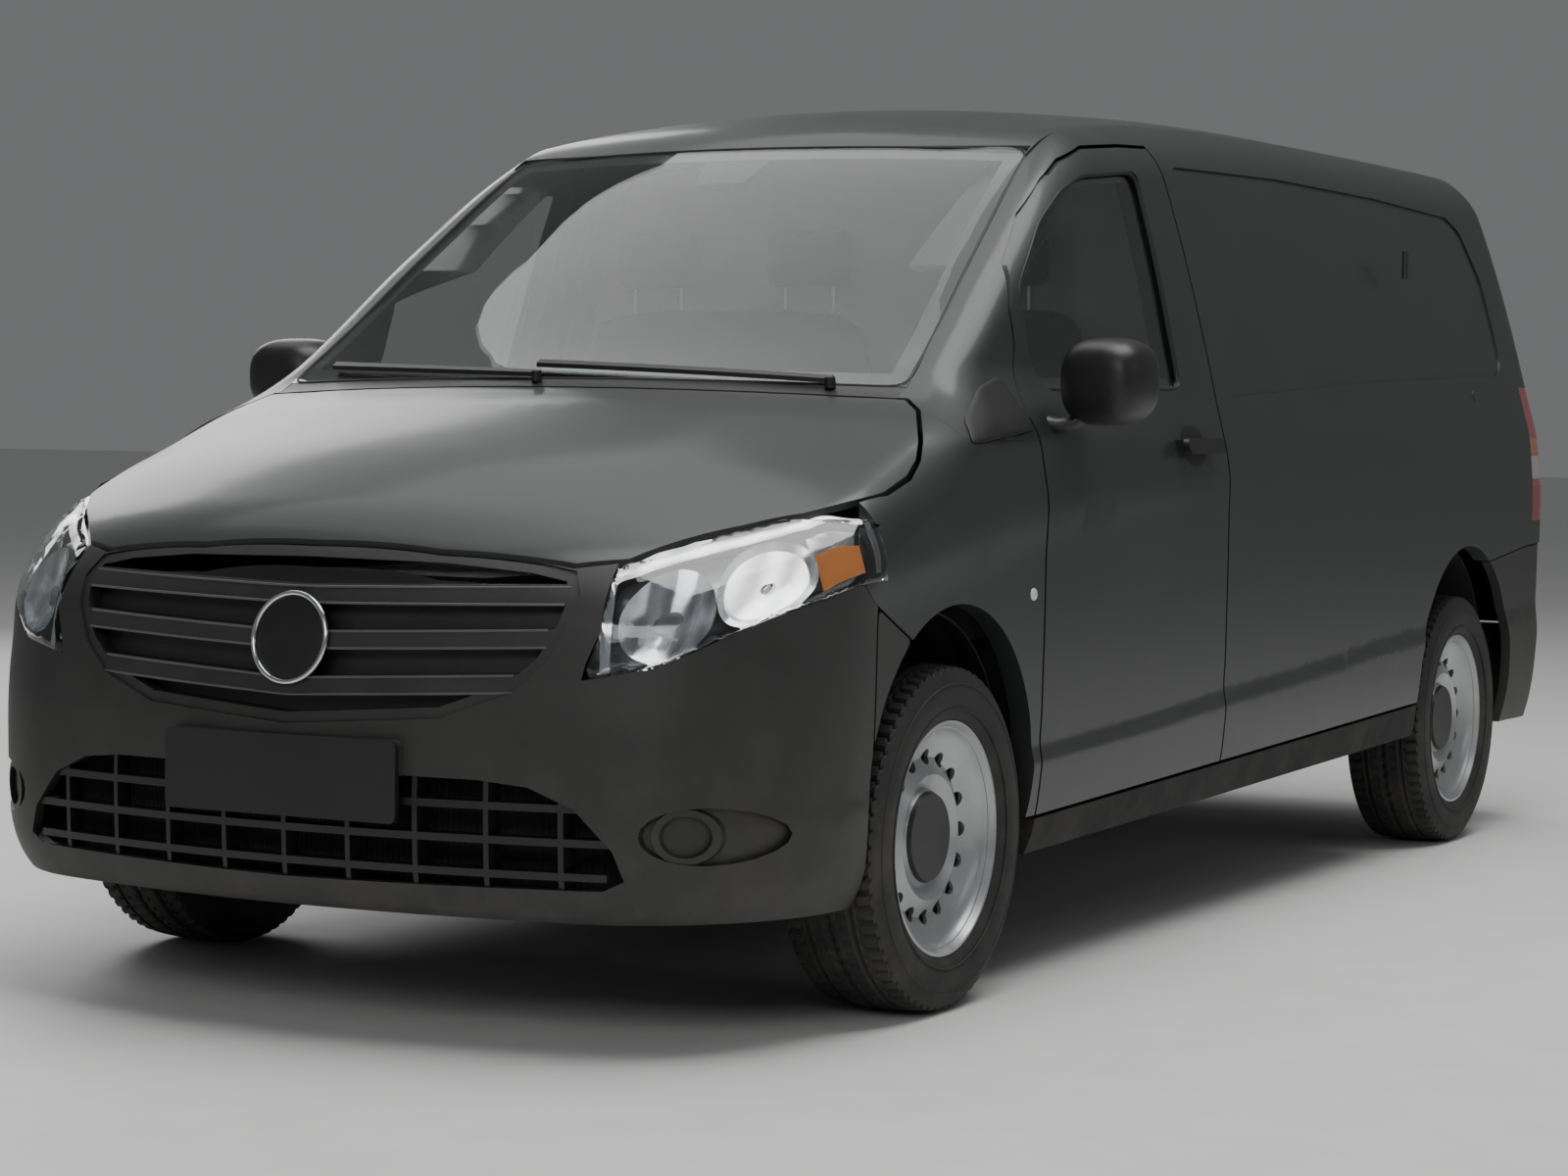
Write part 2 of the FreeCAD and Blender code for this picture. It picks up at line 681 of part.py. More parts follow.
POST_FRONT_Y = -205.0
POST_REAR_Y = -108.0
POST_WALL = 36.0
POST_GAP = 1.0
JAMB_REACH = 30.0
JAMB_WALL = 22.0


def build_rear_jamb():
    """Left rear post, which the rear door closes against."""
    def ray(column, row):
        return Vector(tail_edge(row) + column, FAN_TURN_Y, row), Vector(0, 1, 0)

    heights = spread(TAIL_DOOR_FOOT_Z, TAIL_DOOR_TOP_Z - SHUT_GAP, 9)
    wide = slab(ray, spread(-JAMB_REACH, JAMB_REACH, 3), heights, JAMB_WALL, -REAR_DOOR_WALL - SEAT_GAP)
    narrow = slab(ray, spread(SHUT_GAP * 1.5, JAMB_REACH, 3), heights, JAMB_WALL, -OUTER_WALL * 0.8)
    return wide.fuse(narrow)


def largest(shape):
    """The largest solid of a shape, without the chips that thin overlaps leave."""
    return max(shape.Solids, key=lambda solid: solid.Volume)


def lamp_prism(gap):
    """Tail lamp's outline in the side view."""
    low, high = BODY_HEIGHT * LAMP_LOW_SHARE, BODY_HEIGHT * LAMP_HIGH_SHARE
    y = at(LAMP_FRONT_SHARE)
    return prism([(y - gap, low - gap), (FAR, low - gap), (FAR, high + gap), (y - gap, high + gap)], "x",
                 0, FAR)


def blank_recess():
    """Cutter that presses the window blank into the side panel."""
    columns = side_columns(DOOR_REAR_Y, FAN_TURN_Y, 14)
    cutter = side_skin(columns, BLANK_DEPTH * 3, BLANK_DEPTH * 2)
    return cutter.common(prism(side_points(BLANK_SHARES), "x", 0, FAR, BLANK_CORNER))


BLANK_DEPTH = 5.0
BLANK_CORNER = 70.0


def side_handle(y, z):
    """Left pull handle on two feet over the side skin, at a station and height."""
    half, deep = HANDLE_LENGTH / 2, HANDLE_WIDTH / 2
    columns = side_columns(y - half * 1.5, y + half * 1.5, 5)
    rows = HANDLE_ROW_SHARES
    grip = side_skin(columns, HANDLE_WALL, HANDLE_PROUD, rows)
    grip = grip.common(prism([(y - half, z - deep), (y + half, z - deep), (y + half, z + deep),
                              (y - half, z + deep)], "x", 0, FAR, deep * 0.9))
    feet = side_skin(columns, HANDLE_PROUD + FINE, HANDLE_PROUD - FINE, rows)
    for end in (-1, 1):
        near, far = sorted((y + end * half * 0.62, y + end * half * 0.92))
        grip = grip.fuse(feet.common(prism([(near, z - deep * 0.8), (far, z - deep * 0.8),
                                            (far, z + deep * 0.8),
                                            (near, z + deep * 0.8)], "x", 0, FAR)))
    return grip


HANDLE_LENGTH = 210.0
HANDLE_WIDTH = 34.0
HANDLE_WALL = 13.0
HANDLE_PROUD = 34.0
HANDLE_Z = 1091.0
HANDLE_INSET = 190.0
HANDLE_ROW_SHARES = (0.56, 0.60, 0.64, 0.70, 0.78, 0.88)


def build_doors():
    """Left front door with its window cut, and the glass in it."""
    skin = side_skin(side_columns(DOOR_FRONT_Y - SHUT_GAP, DOOR_REAR_Y + SHUT_GAP, 13), DOOR_WALL)
    door = skin.common(prism(door_outline(0.0), "x", 0, FAR))
    window = side_points(DOOR_WINDOW_SHARES)
    door = door.cut(prism(window, "x", 0, FAR, WINDOW_CORNER_RADIUS))
    door = door.fuse(side_handle(DOOR_REAR_Y - HANDLE_INSET, HANDLE_Z))
    pane = side_skin(side_columns(DOOR_FRONT_Y, DOOR_REAR_Y, 9), GLASS_WALL, -GLASS_INSET)
    pane = pane.common(prism(grown(window, -SEAT_GAP), "x", 0, FAR, WINDOW_CORNER_RADIUS))
    return door, pane


GLASS_INSET = 12.0


def build_pillar():
    """Left windscreen pillar and the roof rail over the front door."""
    skin = side_skin(side_columns(PILLAR_FOOT_Y, DOOR_REAR_Y + SHUT_GAP, 15), OUTER_WALL, rows=PILLAR_ROWS)
    keep = prism([(PILLAR_FOOT_Y, PILLAR_FOOT_Z), (PILLAR_FOOT_Y, FAR), (DOOR_REAR_Y + SHUT_GAP - SEAT_GAP,
                                                                         FAR),
                  (DOOR_REAR_Y + SHUT_GAP - SEAT_GAP, PILLAR_FOOT_Z)], "x", 0, FAR)
    pillar = skin.common(keep)
    pillar = pillar.cut(prism(door_outline(SHUT_GAP), "x", 0, FAR))
    pillar = pillar.cut(prism(screen_outline(SEAT_GAP), "z", TOP_START_Z, FAR))
    pillar = pillar.cut(prism(hood_outline(HOOD_GAP), "z", TOP_START_Z, FAR))
    pillar = pillar.cut(cowl_cutter())
    return pillar.cut(box((0, at(SCREEN_HEAD_SHARE), 0), (SIDE_SEAM_X + SEAT_GAP, FAR, FAR)))


def cowl_cutter():
    """Everything ahead of the windscreen's foot and inside the pillars, in plan."""
    x = SCREEN_FOOT_X + SEAT_GAP
    y = at(SCREEN_FOOT_SHARE) + TOP_SWEEP * (x / HALF_WIDTH) ** 2
    return box((0, -FAR, TOP_START_Z), (x, y, FAR))


PILLAR_FOOT_Y = -1478.0
PILLAR_FOOT_Z = 1105.0


def build_fender():
    """Left front wing with its arch, shoulder and lamp cut-out."""
    skin = side_skin(side_columns(FENDER_FRONT_Y, DOOR_FRONT_Y, 13), OUTER_WALL, rows=WING_ROWS)
    end = DOOR_FRONT_Y - SHUT_GAP
    keep = prism([(FENDER_FRONT_Y, DOOR_FOOT_Z), (FENDER_FRONT_Y, FAR), (PILLAR_FOOT_Y - SEAT_GAP, FAR),
                  (PILLAR_FOOT_Y - SEAT_GAP, PILLAR_FOOT_Z - SEAT_GAP), (end, PILLAR_FOOT_Z - SEAT_GAP),
                  (end, DOOR_FOOT_Z)], "x", 0, FAR)
    fender = skin.common(keep)
    fender = fender.cut(prism(hood_outline(HOOD_GAP), "z", TOP_START_Z, FAR))
    fender = fender.cut(arch(FRONT_AXLE_Y, FRONT_ARCH_Z, FRONT_ARCH_RADIUS))
    fender = fender.cut(swing_room())
    fender = fender.cut(bumper_side(TRIM_GAP))
    fender = fender.cut(lamp_block(SEAT_GAP))
    fender = fender.cut(box((0, -FAR, 0), (FENDER_INNER_X, FAR, FAR)))
    return fender


FENDER_FRONT_Y = -2040.0
FENDER_INNER_X = 735.0


def bumper_side(gap):
    """What lies ahead of the joint of bumper and wing, in the side view."""
    points = side_points(WING_SEAM_SHARES)
    return prism([(-FAR, points[-1][1]), (-FAR, points[0][1])] + [(y + gap, z) for y, z in points], "x", 0,
                 FAR)


def lamp_block(gap):
    """Headlamp outline carried back to the lamp's rear end."""
    points = grown(front_points(LAMP_SHARES), gap)
    return prism(points, "y", -FAR, at(LAMP_REAR_SHARE) + gap)


def build_front():
    """Bumper cover, grille, lower grille and left headlamp, cut from one nose skin."""
    low, high = BODY_HEIGHT * NOSE_LOW_SHARE, BODY_HEIGHT * NOSE_HIGH_SHARE
    wide = spread(-NOSE_FAN_REACH, NOSE_FAN_REACH, 29)
    middle = spread(-GRILLE_REACH, GRILLE_REACH, 13)
    skin = front_skin(BUMPER_WALL, 0.0, low, high, wide)
    bumper = skin
    for side in (1, -1):
        cutters = [arch(FRONT_AXLE_Y, FRONT_ARCH_Z, FRONT_ARCH_RADIUS), swing_room(), wing_block(),
                   lamp_block(SEAT_GAP)]
        for cutter in cutters:
            bumper = bumper.cut(cutter if side > 0 else mirrored(cutter))
    lid = prism(hood_outline(HOOD_GAP), "z", TOP_START_Z, FAR)
    bumper = bumper.cut(lid)
    grille_edge = both_sides(front_points(GRILLE_SHARES))
    intake_edge = both_sides(front_points(INTAKE_SHARES))
    bumper = bumper.cut(prism(grille_edge, "y", -FAR, 0))
    bumper = bumper.cut(prism(intake_edge, "y", -FAR, 0))
    bumper = bumper.fuse(plate_bracket(prism(intake_edge, "y", -FAR, 0)))
    for side in (1, -1):
        pocket, ring = fog_pocket()
        bumper = bumper.cut(pocket if side > 0 else mirrored(pocket))
        bumper = bumper.fuse(ring if side > 0 else mirrored(ring))
    back = front_skin(GRILLE_BACK_WALL, -GRILLE_BACK, low, high, middle)
    bars = front_skin(GRILLE_BACK + SEAT_GAP - GRILLE_INSET, -GRILLE_INSET, low, high, middle)
    grille = back.common(prism(grown(grille_edge, -SEAT_GAP), "y", -FAR, 0))
    cuts = [prism(points, "y", -FAR, 0) for points in louvres()]
    for bar in cuts:
        grille = grille.fuse(bars.common(bar).common(prism(grown(grille_edge, -SEAT_GAP), "y", -FAR, 0)))
    ring = prism(grown(grille_edge, -SEAT_GAP), "y", -FAR, 0).cut(
        prism(grown(grille_edge, -GRILLE_RIM), "y", -FAR, 0))
    grille = grille.fuse(bars.common(ring))
    intake_room = prism(grown(intake_edge, -SEAT_GAP), "y", -FAR, 0)
    lattice = intake_bars()
    lattice = lattice[0].multiFuse(lattice[1:]).removeSplitter().common(intake_room)
    lower = back.common(intake_room).fuse(bars.common(lattice)).removeSplitter()
    lamp = front_skin(LAMP_WALL, 0.0, LAMP_SKIN_LOW_SHARE * BODY_HEIGHT, LAMP_SKIN_HIGH_SHARE * BODY_HEIGHT,
                      spread(LAMP_FAN_START, LAMP_FAN_END, 15))
    lamp = lamp.common(lamp_block(0.0)).cut(prism(hood_outline(HOOD_GAP), "z", TOP_START_Z, FAR))
    return largest(bumper), largest(grille.cut(lid)), largest(lower), largest(lamp)


def plate_bracket(opening):
    """Blank bracket for the number plate, proud of the bumper, with a foot that stays out of the intake."""
    half, low, high = PLATE_LENGTH / 2, PLATE_LOW, PLATE_LOW + PLATE_HEIGHT
    outline = [(-half, low), (half, low), (half, high), (-half, high)]
    face = prism(outline, "y", FRONT_Y - PLATE_PROUD, FRONT_Y + PLATE_DEPTH, PLATE_CORNER)
    foot = prism(outline, "y", FRONT_Y, FRONT_Y + BUMPER_WALL, PLATE_CORNER)
    return face.fuse(foot.cut(opening))


def ellipse(x, z, across, upright, count=20):
    """Outline of an ellipse seen from ahead."""
    turns = [2 * math.pi * k / count for k in range(count)]
    return [(x + across * math.cos(t), z + upright * math.sin(t)) for t in turns]


def fog_pocket():
    """Cutter for the left fog lamp recess, and the ring that stands in it."""
    low, high = FOG_Z - FOG_UPRIGHT * 2, FOG_Z + FOG_UPRIGHT * 2
    plans = spread(FOG_PLAN_LOW, FOG_PLAN_HIGH, 7)
    cutter = front_skin(FOG_DEPTH + TRIM_GAP, TRIM_GAP, low, high, plans, 5)
    pocket = cutter.common(prism(ellipse(FOG_X + FOG_SHIFT, FOG_Z, FOG_ACROSS, FOG_UPRIGHT), "y", -FAR, 0))
    ring = prism(ellipse(FOG_X, FOG_Z, FOG_RING, FOG_RING), "y", -FAR, 0)
    ring = ring.cut(prism(ellipse(FOG_X, FOG_Z, FOG_LENS, FOG_LENS), "y", -FAR, 0))
    body = front_skin(FOG_DEPTH + FINE - TRIM_GAP, -TRIM_GAP, low, high, plans, 5)
    return pocket, body.common(ring)


PLATE_LENGTH = 520.0
PLATE_HEIGHT = 150.0
PLATE_LOW = 410.0
PLATE_PROUD = 0.0
PLATE_DEPTH = 12.0
PLATE_CORNER = 14.0
FOG_X = 768.0
FOG_Z = 404.0
FOG_SHIFT = 30.0
FOG_ACROSS = 100.0
FOG_UPRIGHT = 52.0
FOG_RING = 50.0
FOG_LENS = 38.0
FOG_DEPTH = 17.0
FOG_PLAN_LOW = 40.0
FOG_PLAN_HIGH = 74.0


def wing_block():
    """What lies behind the joint of bumper and wing, in the side view."""
    points = side_points(WING_SEAM_SHARES)
    return prism(points + [(0, points[-1][1]), (0, points[0][1])], "x", 0, FAR)


def louvres():
    """Three bars that dip to the middle, each an outline seen from ahead."""
    bars = []
    for side_z, mid_z in GRILLE_BAR_SHARES:
        x, s, m, t = HALF_WIDTH, BODY_HEIGHT * side_z, BODY_HEIGHT * mid_z, GRILLE_BAR / 2
        bars.append([(-x, s - t), (0, m - t), (x, s - t), (x, s + t), (0, m + t), (-x, s + t)])
    return bars


def intake_bars():
    """Cross bars and upright ribs of the lower intake."""
    bars = [prism([(-HALF_WIDTH, BODY_HEIGHT * z - INTAKE_BAR / 2),
                   (HALF_WIDTH, BODY_HEIGHT * z - INTAKE_BAR / 2),
                   (HALF_WIDTH, BODY_HEIGHT * z + INTAKE_BAR / 2),
                   (-HALF_WIDTH, BODY_HEIGHT * z + INTAKE_BAR / 2)],
                  "y", -FAR, 0) for z in INTAKE_BAR_SHARES]
    for x in spread(-INTAKE_RIB_REACH, INTAKE_RIB_REACH, INTAKE_RIBS):
        bars.append(prism([(x - INTAKE_RIB / 2, 0), (x + INTAKE_RIB / 2, 0), (x + INTAKE_RIB / 2, FAR),
                           (x - INTAKE_RIB / 2, FAR)], "y", -FAR, 0))
    return bars


LAMP_FAN_START = 30.0
LAMP_FAN_END = 82.0
NOSE_LOW_SHARE = 0.127
NOSE_HIGH_SHARE = 0.478
NOSE_FAN_REACH = 78.0
GRILLE_REACH = 45.0
GRILLE_BACK = 46.0
GRILLE_BACK_WALL = 8.0
GRILLE_INSET = 6.0
GRILLE_BAR = 34.0
GRILLE_RIM = 20.0
GRILLE_BAR_SHARES = ((0.440, 0.428), (0.402, 0.384), (0.362, 0.340))
INTAKE_BAR_SHARES = (0.236, 0.204, 0.172)
INTAKE_BAR = 14.0
INTAKE_RIB = 10.0
INTAKE_RIB_REACH = 560.0
INTAKE_RIBS = 9
LAMP_WALL = 70.0
LAMP_SKIN_LOW_SHARE = 0.345
LAMP_SKIN_HIGH_SHARE = 0.505


def build_top():
    """Bonnet, windscreen and roof, cut from the top skin."""
    hood = slab(hood_ray, spread(-HOOD_GRID_SHARE, HOOD_GRID_SHARE, 17), spread(0, 1, 13), HOOD_WALL)
    hood = hood.common(prism(hood_outline(0.0), "z", TOP_START_Z - FAR / 8, FAR))
    screen = slab(top_ray, spread(-SCREEN_GRID_SHARE, SCREEN_GRID_SHARE, 13),
                  spread(SCREEN_FOOT_SHARE - EPS_SHARE, SCREEN_HEAD_SHARE + EPS_SHARE, 13), SCREEN_WALL)
    screen = screen.common(prism(screen_outline(0.0), "z", TOP_START_Z, FAR))
    return hood, screen


HOOD_GRID_SHARE = 0.945
HOOD_GRID_EDGE = 10.0


def hood_ray(column, row):
    """Upright ray for the bonnet: row runs 0 to 1 from its front edge to its rear edge."""
    x = HALF_WIDTH * column
    front = at(smooth(HOOD_SHARES[:8], abs(column))) - HOOD_GRID_EDGE
    rear = at(COWL_SHARE) + TOP_SWEEP * column ** 2 + HOOD_GRID_EDGE * 2
    return Vector(x, front + (rear - front) * row, TOP_START_Z), Vector(0, 0, 1)


SCREEN_GRID_SHARE = 0.80


def roof_ray(column, row):
    """Ray for the roof skin: upright along it, then tilting back over its rear edge."""
    y, tilt = row
    t = math.radians(tilt)
    return Vector(column, y, FAN_TOP_Z - FAN_DEPTH), Vector(0, math.sin(t), math.cos(t))


def build_roof():
    """Roof panel between the windscreen, the side panels and the rear doors."""
    rows = [(y, 0.0) for y in spread(at(SCREEN_HEAD_SHARE), FAN_TURN_Y, 16)]
    rows += [(FAN_TURN_Y, tilt) for tilt in (8.0, 16.0, 22.0, 27.0, 31.0, 34.0, 37.0)]
    roof = slab(roof_ray, spread(-SIDE_SEAM_X, SIDE_SEAM_X, 11), rows, ROOF_WALL)
    roof = roof.cut(prism(screen_outline(SEAT_GAP), "z", TOP_START_Z, FAR))
    return roof.cut(prism(tail_door_outline(SHUT_GAP), "y", FAN_TURN_Y, FAR))


def build_rear_door():
    """Left rear door with its window cut, and the glass in it."""
    skin = slab(rear_ray, spread(0, 1, 7), spread(TAIL_DOOR_FOOT_Z, TAIL_DOOR_TOP_Z, 11), REAR_DOOR_WALL)
    window = [(REAR_WINDOW_INNER, REAR_WINDOW_LOW), (REAR_WINDOW_OUTER, REAR_WINDOW_LOW),
              (REAR_WINDOW_OUTER - REAR_WINDOW_LEAN, REAR_WINDOW_HIGH),
              (REAR_WINDOW_INNER, REAR_WINDOW_HIGH)]
    door = skin.cut(prism(window, "y", 0, FAR, WINDOW_CORNER_RADIUS))
    pane = slab(rear_ray, spread(0, 1, 5),
                spread(REAR_WINDOW_LOW - FAN_DEPTH, REAR_WINDOW_HIGH + SHUT_GAP, 7), GLASS_WALL,
                -GLASS_INSET)
    pane = pane.common(prism(grown(window, -SEAT_GAP), "y", 0, FAR, WINDOW_CORNER_RADIUS))
    return door, pane


CENTRE_GAP = 8.0
TAIL_DOOR_INSET = 118.0
REAR_DOOR_WALL = 50.0
REAR_WINDOW_INNER = 110.0
REAR_WINDOW_OUTER = 735.0
REAR_WINDOW_LEAN = 60.0
REAR_WINDOW_LOW = 1190.0
REAR_WINDOW_HIGH = 1665.0


def build_rear_bumper():
    """Rear bumper cover that wraps round both corners."""
    skin = slab(tail_ray, spread(-REAR_FAN_REACH, REAR_FAN_REACH, 27),
                spread(REAR_BUMPER_LOW, BODY_HEIGHT * BUMPER_SEAM_SHARES[2][1], 9), BUMPER_WALL)
    seam = prism(side_points(BUMPER_SEAM_SHARES), "x", -FAR, FAR)
    bumper = skin.common(seam)
    bumper = bumper.cut(arch(REAR_AXLE_Y, REAR_ARCH_Z, REAR_ARCH_RADIUS))
    bumper = bumper.cut(arch(REAR_AXLE_Y, REAR_ARCH_Z, REAR_ARCH_RADIUS, -1))
    opening = tail_door_outline(SHUT_GAP)
    over = [(opening[0][0], opening[0][1]), (opening[0][0], FAR), (-opening[0][0], FAR),
            (-opening[0][0], opening[0][1])]
    return bumper.cut(prism(over, "y", FAN_TURN_Y, FAR))


REAR_FAN_REACH = 84.0
REAR_BUMPER_LOW = 300.0
FLOOR_TOP_Z = 556.0
FLOOR_WALL = 36.0
FLOOR_FRONT_Y = -1262.0
FLOOR_REAR_Y = 2340.0
FLOOR_HALF = 866.0
RAIL_INNER_X = 440.0
RAIL_OUTER_X = 520.0
RAIL_HIGH = 100.0
RAIL_FRONT_Y = -2200.0
HOUSING_RADIUS = 412.0
HOUSING_WALL = 8.0
HOUSING_INNER_X = 600.0
SILL_WALL = 110.0
SILL_ROW = 0.22


def liner_room():
    """Room for both front wheel liners."""
    radius = LINER_RADIUS + LINER_WALL + SEAT_GAP
    left = cylinder(radius, FAR, Vector(RAIL_OUTER_X, FRONT_AXLE_Y, LINER_RADIUS), Vector(1, 0, 0))
    skirt = SKIRT_REACH + LINER_WALL + SEAT_GAP
    left = left.fuse(box((RAIL_OUTER_X, FRONT_AXLE_Y - skirt, 0),
                         (FAR, FRONT_AXLE_Y + skirt, LINER_RADIUS)))
    return left.fuse(mirrored(left))


def swing_room():
    """Room that the left front tyre needs over its whole steering travel."""
    reach = math.hypot(TYRE_RADIUS, FRONT_WHEEL_X - KINGPIN_X + TYRE_WIDTH / 2 * TYRE_SHARES[0][0])
    return Part.makeSphere(reach + SWING_GAP, Vector(KINGPIN_X, FRONT_AXLE_Y, TYRE_RADIUS))


SWING_GAP = 6.0


def build_floor():
    """Floor plate with its load panel, rear wheel housings and sills."""
    top, under = FLOOR_TOP_Z, FLOOR_TOP_Z - FLOOR_WALL
    floor = box((-FLOOR_HALF, FLOOR_FRONT_Y, under), (FLOOR_HALF, FLOOR_REAR_Y, top)).cut(liner_room())
    panel = box((PANEL_GAP - HOUSING_INNER_X, BULKHEAD_Y + BULKHEAD_WALL + PANEL_GAP, top - FINE),
                (HOUSING_INNER_X - PANEL_GAP, FLOOR_REAR_Y - PANEL_REAR, LOAD_PANEL_Z))
    floor = floor.fuse(panel)
    for side in (1, -1):
        drum = cylinder(HOUSING_RADIUS, FLOOR_HALF - HOUSING_INNER_X,
                        Vector(side * HOUSING_INNER_X, REAR_AXLE_Y, REAR_ARCH_Z), Vector(side, 0, 0))
        drum = drum.common(box((-FAR, -FAR, under), (FAR, FAR, FAR)))
        hole = cylinder(HOUSING_RADIUS - HOUSING_WALL, FAR,
                        Vector(side * (HOUSING_INNER_X + HOUSING_WALL), REAR_AXLE_Y, REAR_ARCH_Z),
                        Vector(side, 0, 0))
        floor = floor.fuse(drum).cut(hole)
    sill = side_skin(side_columns(DOOR_FRONT_Y - SHUT_GAP * 4, REAR_AXLE_Y, 9), SILL_WALL,
                     rows=spread(0, SILL_ROW, 4))
    ends = (at(SILL_FRONT_SHARE), at(SILL_REAR_SHARE))
    keep = prism([(ends[0], SILL_BOTTOM_Z), (ends[1], SILL_BOTTOM_Z + SILL_RISE),
                  (ends[1], foot_z(ends[1]) - SHUT_GAP), (ends[0], foot_z(ends[0]) - SHUT_GAP)], "x", 0,
                  FAR)
    sill = sill.common(keep).cut(arch(REAR_AXLE_Y, REAR_ARCH_Z, REAR_ARCH_RADIUS))
    web = box((SILL_WEB_X, ends[0] + SILL_RISE / 2, SILL_BOTTOM_Z + SILL_RISE),
              (SILL_WEB_X + SILL_WEB, ends[1] - SILL_RISE, under + FINE))
    sill = sill.fuse(web.cut(arch(REAR_AXLE_Y, REAR_ARCH_Z, REAR_ARCH_RADIUS))).cut(liner_room())
    return floor.fuse(sill).fuse(mirrored(sill)).removeSplitter()


def build_underframe():
    """Long rails and cross members under the floor, with the front suspension towers."""
    under = FLOOR_TOP_Z - FLOOR_WALL
    frame = box((RAIL_INNER_X, RAIL_FRONT_Y, under - RAIL_HIGH), (RAIL_OUTER_X, FLOOR_REAR_Y, under))
    frame = frame.fuse(build_tower())
    frame = frame.fuse(mirrored(frame))
    for y in CROSS_YS:
        frame = frame.fuse(box((-RAIL_INNER_X, y, under - RAIL_HIGH * CROSS_SHARE),
                               (RAIL_INNER_X, y + CROSS_WIDTH, under)))
    return frame.removeSplitter()


PANEL_GAP = 12.0
PANEL_REAR = 60.0
LOAD_PANEL_Z = 560.0
CROSS_YS = (-2200.0, -1100.0, -400.0, 500.0, 1150.0, 2240.0)
CROSS_WIDTH = 90.0
CROSS_SHARE = 0.6
SILL_FRONT_SHARE = 0.2600
SILL_REAR_SHARE = 0.7560
SILL_RISE = 60.0
SILL_WEB_X = 826.0
SILL_WEB = 40.0


def revolve(points, y, z, x, side):
    """Ring about a wheel's axle from pairs of axial place and radius, outer end first."""
    corners = [Vector(x + side * a, y, z + r) for a, r in points]
    return Part.Face(outline(corners)).revolve(Vector(0, y, z), Vector(1, 0, 0), 360)


TYRE_SHARES = ((0.765, 1.0), (0.978, 0.888), (0.765, 0.679))
BEAD_HALF = 81.0
BEAD_RADIUS = 214.3
RIM_LIP = 7.0
DISC_FACE = 60.0
DISC_BACK = 48.0
HUB_BACK = -12.0
HUB_BORE_DEPTH = 44.0
RIM_SEAT_RADIUS = 214.0


def build_wheel(x, y, side):
    """Tyre and rim. The rim's hub turns on the stub axle."""
    z = TYRE_RADIUS
    half = TYRE_WIDTH / 2
    outer = [(half * a, TYRE_RADIUS * b) for a, b in TYRE_SHARES] + [(BEAD_HALF, BEAD_RADIUS)]
    tyre = revolve(outer + [(-a, r) for a, r in reversed(outer)], y, z, x, side)
    lip, seat, wall = RIM_WIDTH / 2, RIM_SEAT_RADIUS, RIM_WALL
    barrel = [(lip, RIM_RADIUS), (lip - RIM_LIP, RIM_RADIUS), (BEAD_HALF + 1 * FINE, seat),
              (-BEAD_HALF - 1 * FINE, seat), (RIM_LIP - lip, RIM_RADIUS), (-lip, RIM_RADIUS)]
    inside = [(-lip, RIM_RADIUS - wall), (-BEAD_HALF, seat - wall), (DISC_BACK, seat - wall * 1.5)]
    disc = [(DISC_BACK, HUB_RADIUS * 2), (DISC_BACK * 0.75, RIM_HOLE_CIRCLE),
            (DISC_BACK * 0.7, HUB_RADIUS), (HUB_BACK, HUB_RADIUS * 0.75),
            (HUB_BACK, STUB_RADIUS + RUNNING_GAP), (HUB_BORE_DEPTH, STUB_RADIUS + RUNNING_GAP),
            (HUB_BORE_DEPTH, 0),
            (DISC_FACE, 0), (DISC_FACE, HUB_RADIUS * 0.9), (DISC_BACK * 0.9, HUB_RADIUS),
            (DISC_FACE, HUB_RADIUS * 1.3), (DISC_BACK * 0.9, RIM_HOLE_CIRCLE),
            (DISC_FACE + wall, seat - wall * 1.5), (lip, RIM_RADIUS - wall)]
    rim = revolve(barrel + inside + disc, y, z, x, side)
    for k in range(RIM_HOLE_COUNT):
        a = 2 * math.pi * k / RIM_HOLE_COUNT
        base = Vector(x, y + RIM_HOLE_CIRCLE * math.cos(a), z + RIM_HOLE_CIRCLE * math.sin(a))
        rim = rim.cut(cylinder(RIM_HOLE_RADIUS, RIM_WIDTH / 2, base, Vector(side, 0, 0)))
    return tyre, rim




KNUCKLE_HALF = 120.0
KNUCKLE_WALL = 40.0
DAMPER_RADIUS = 26.0
DAMPER_LENGTH = 330.0
ROD_RADIUS = 11.0
ROD_LENGTH = 70.0
PIN_RADIUS = 12.0
PIN_LENGTH = 34.0
ARM_TOP = 212.0
ARM_BOTTOM = 184.0
ARM_WIDTH = 60.0
SOCKET_RADIUS = 26.0


def kingpin(distance):
    """Point on the left steering axis, measured upwards from the wheel's height."""
    lean = math.radians(KINGPIN_LEAN)
    return Vector(KINGPIN_X - distance * math.sin(lean), FRONT_AXLE_Y,
                  TYRE_RADIUS + distance * math.cos(lean))


def kingpin_axis():
    """Point and direction of the left kingpin at a distance along it."""
    lean = math.radians(KINGPIN_LEAN)
    return Vector(-math.sin(lean), 0, math.cos(lean))


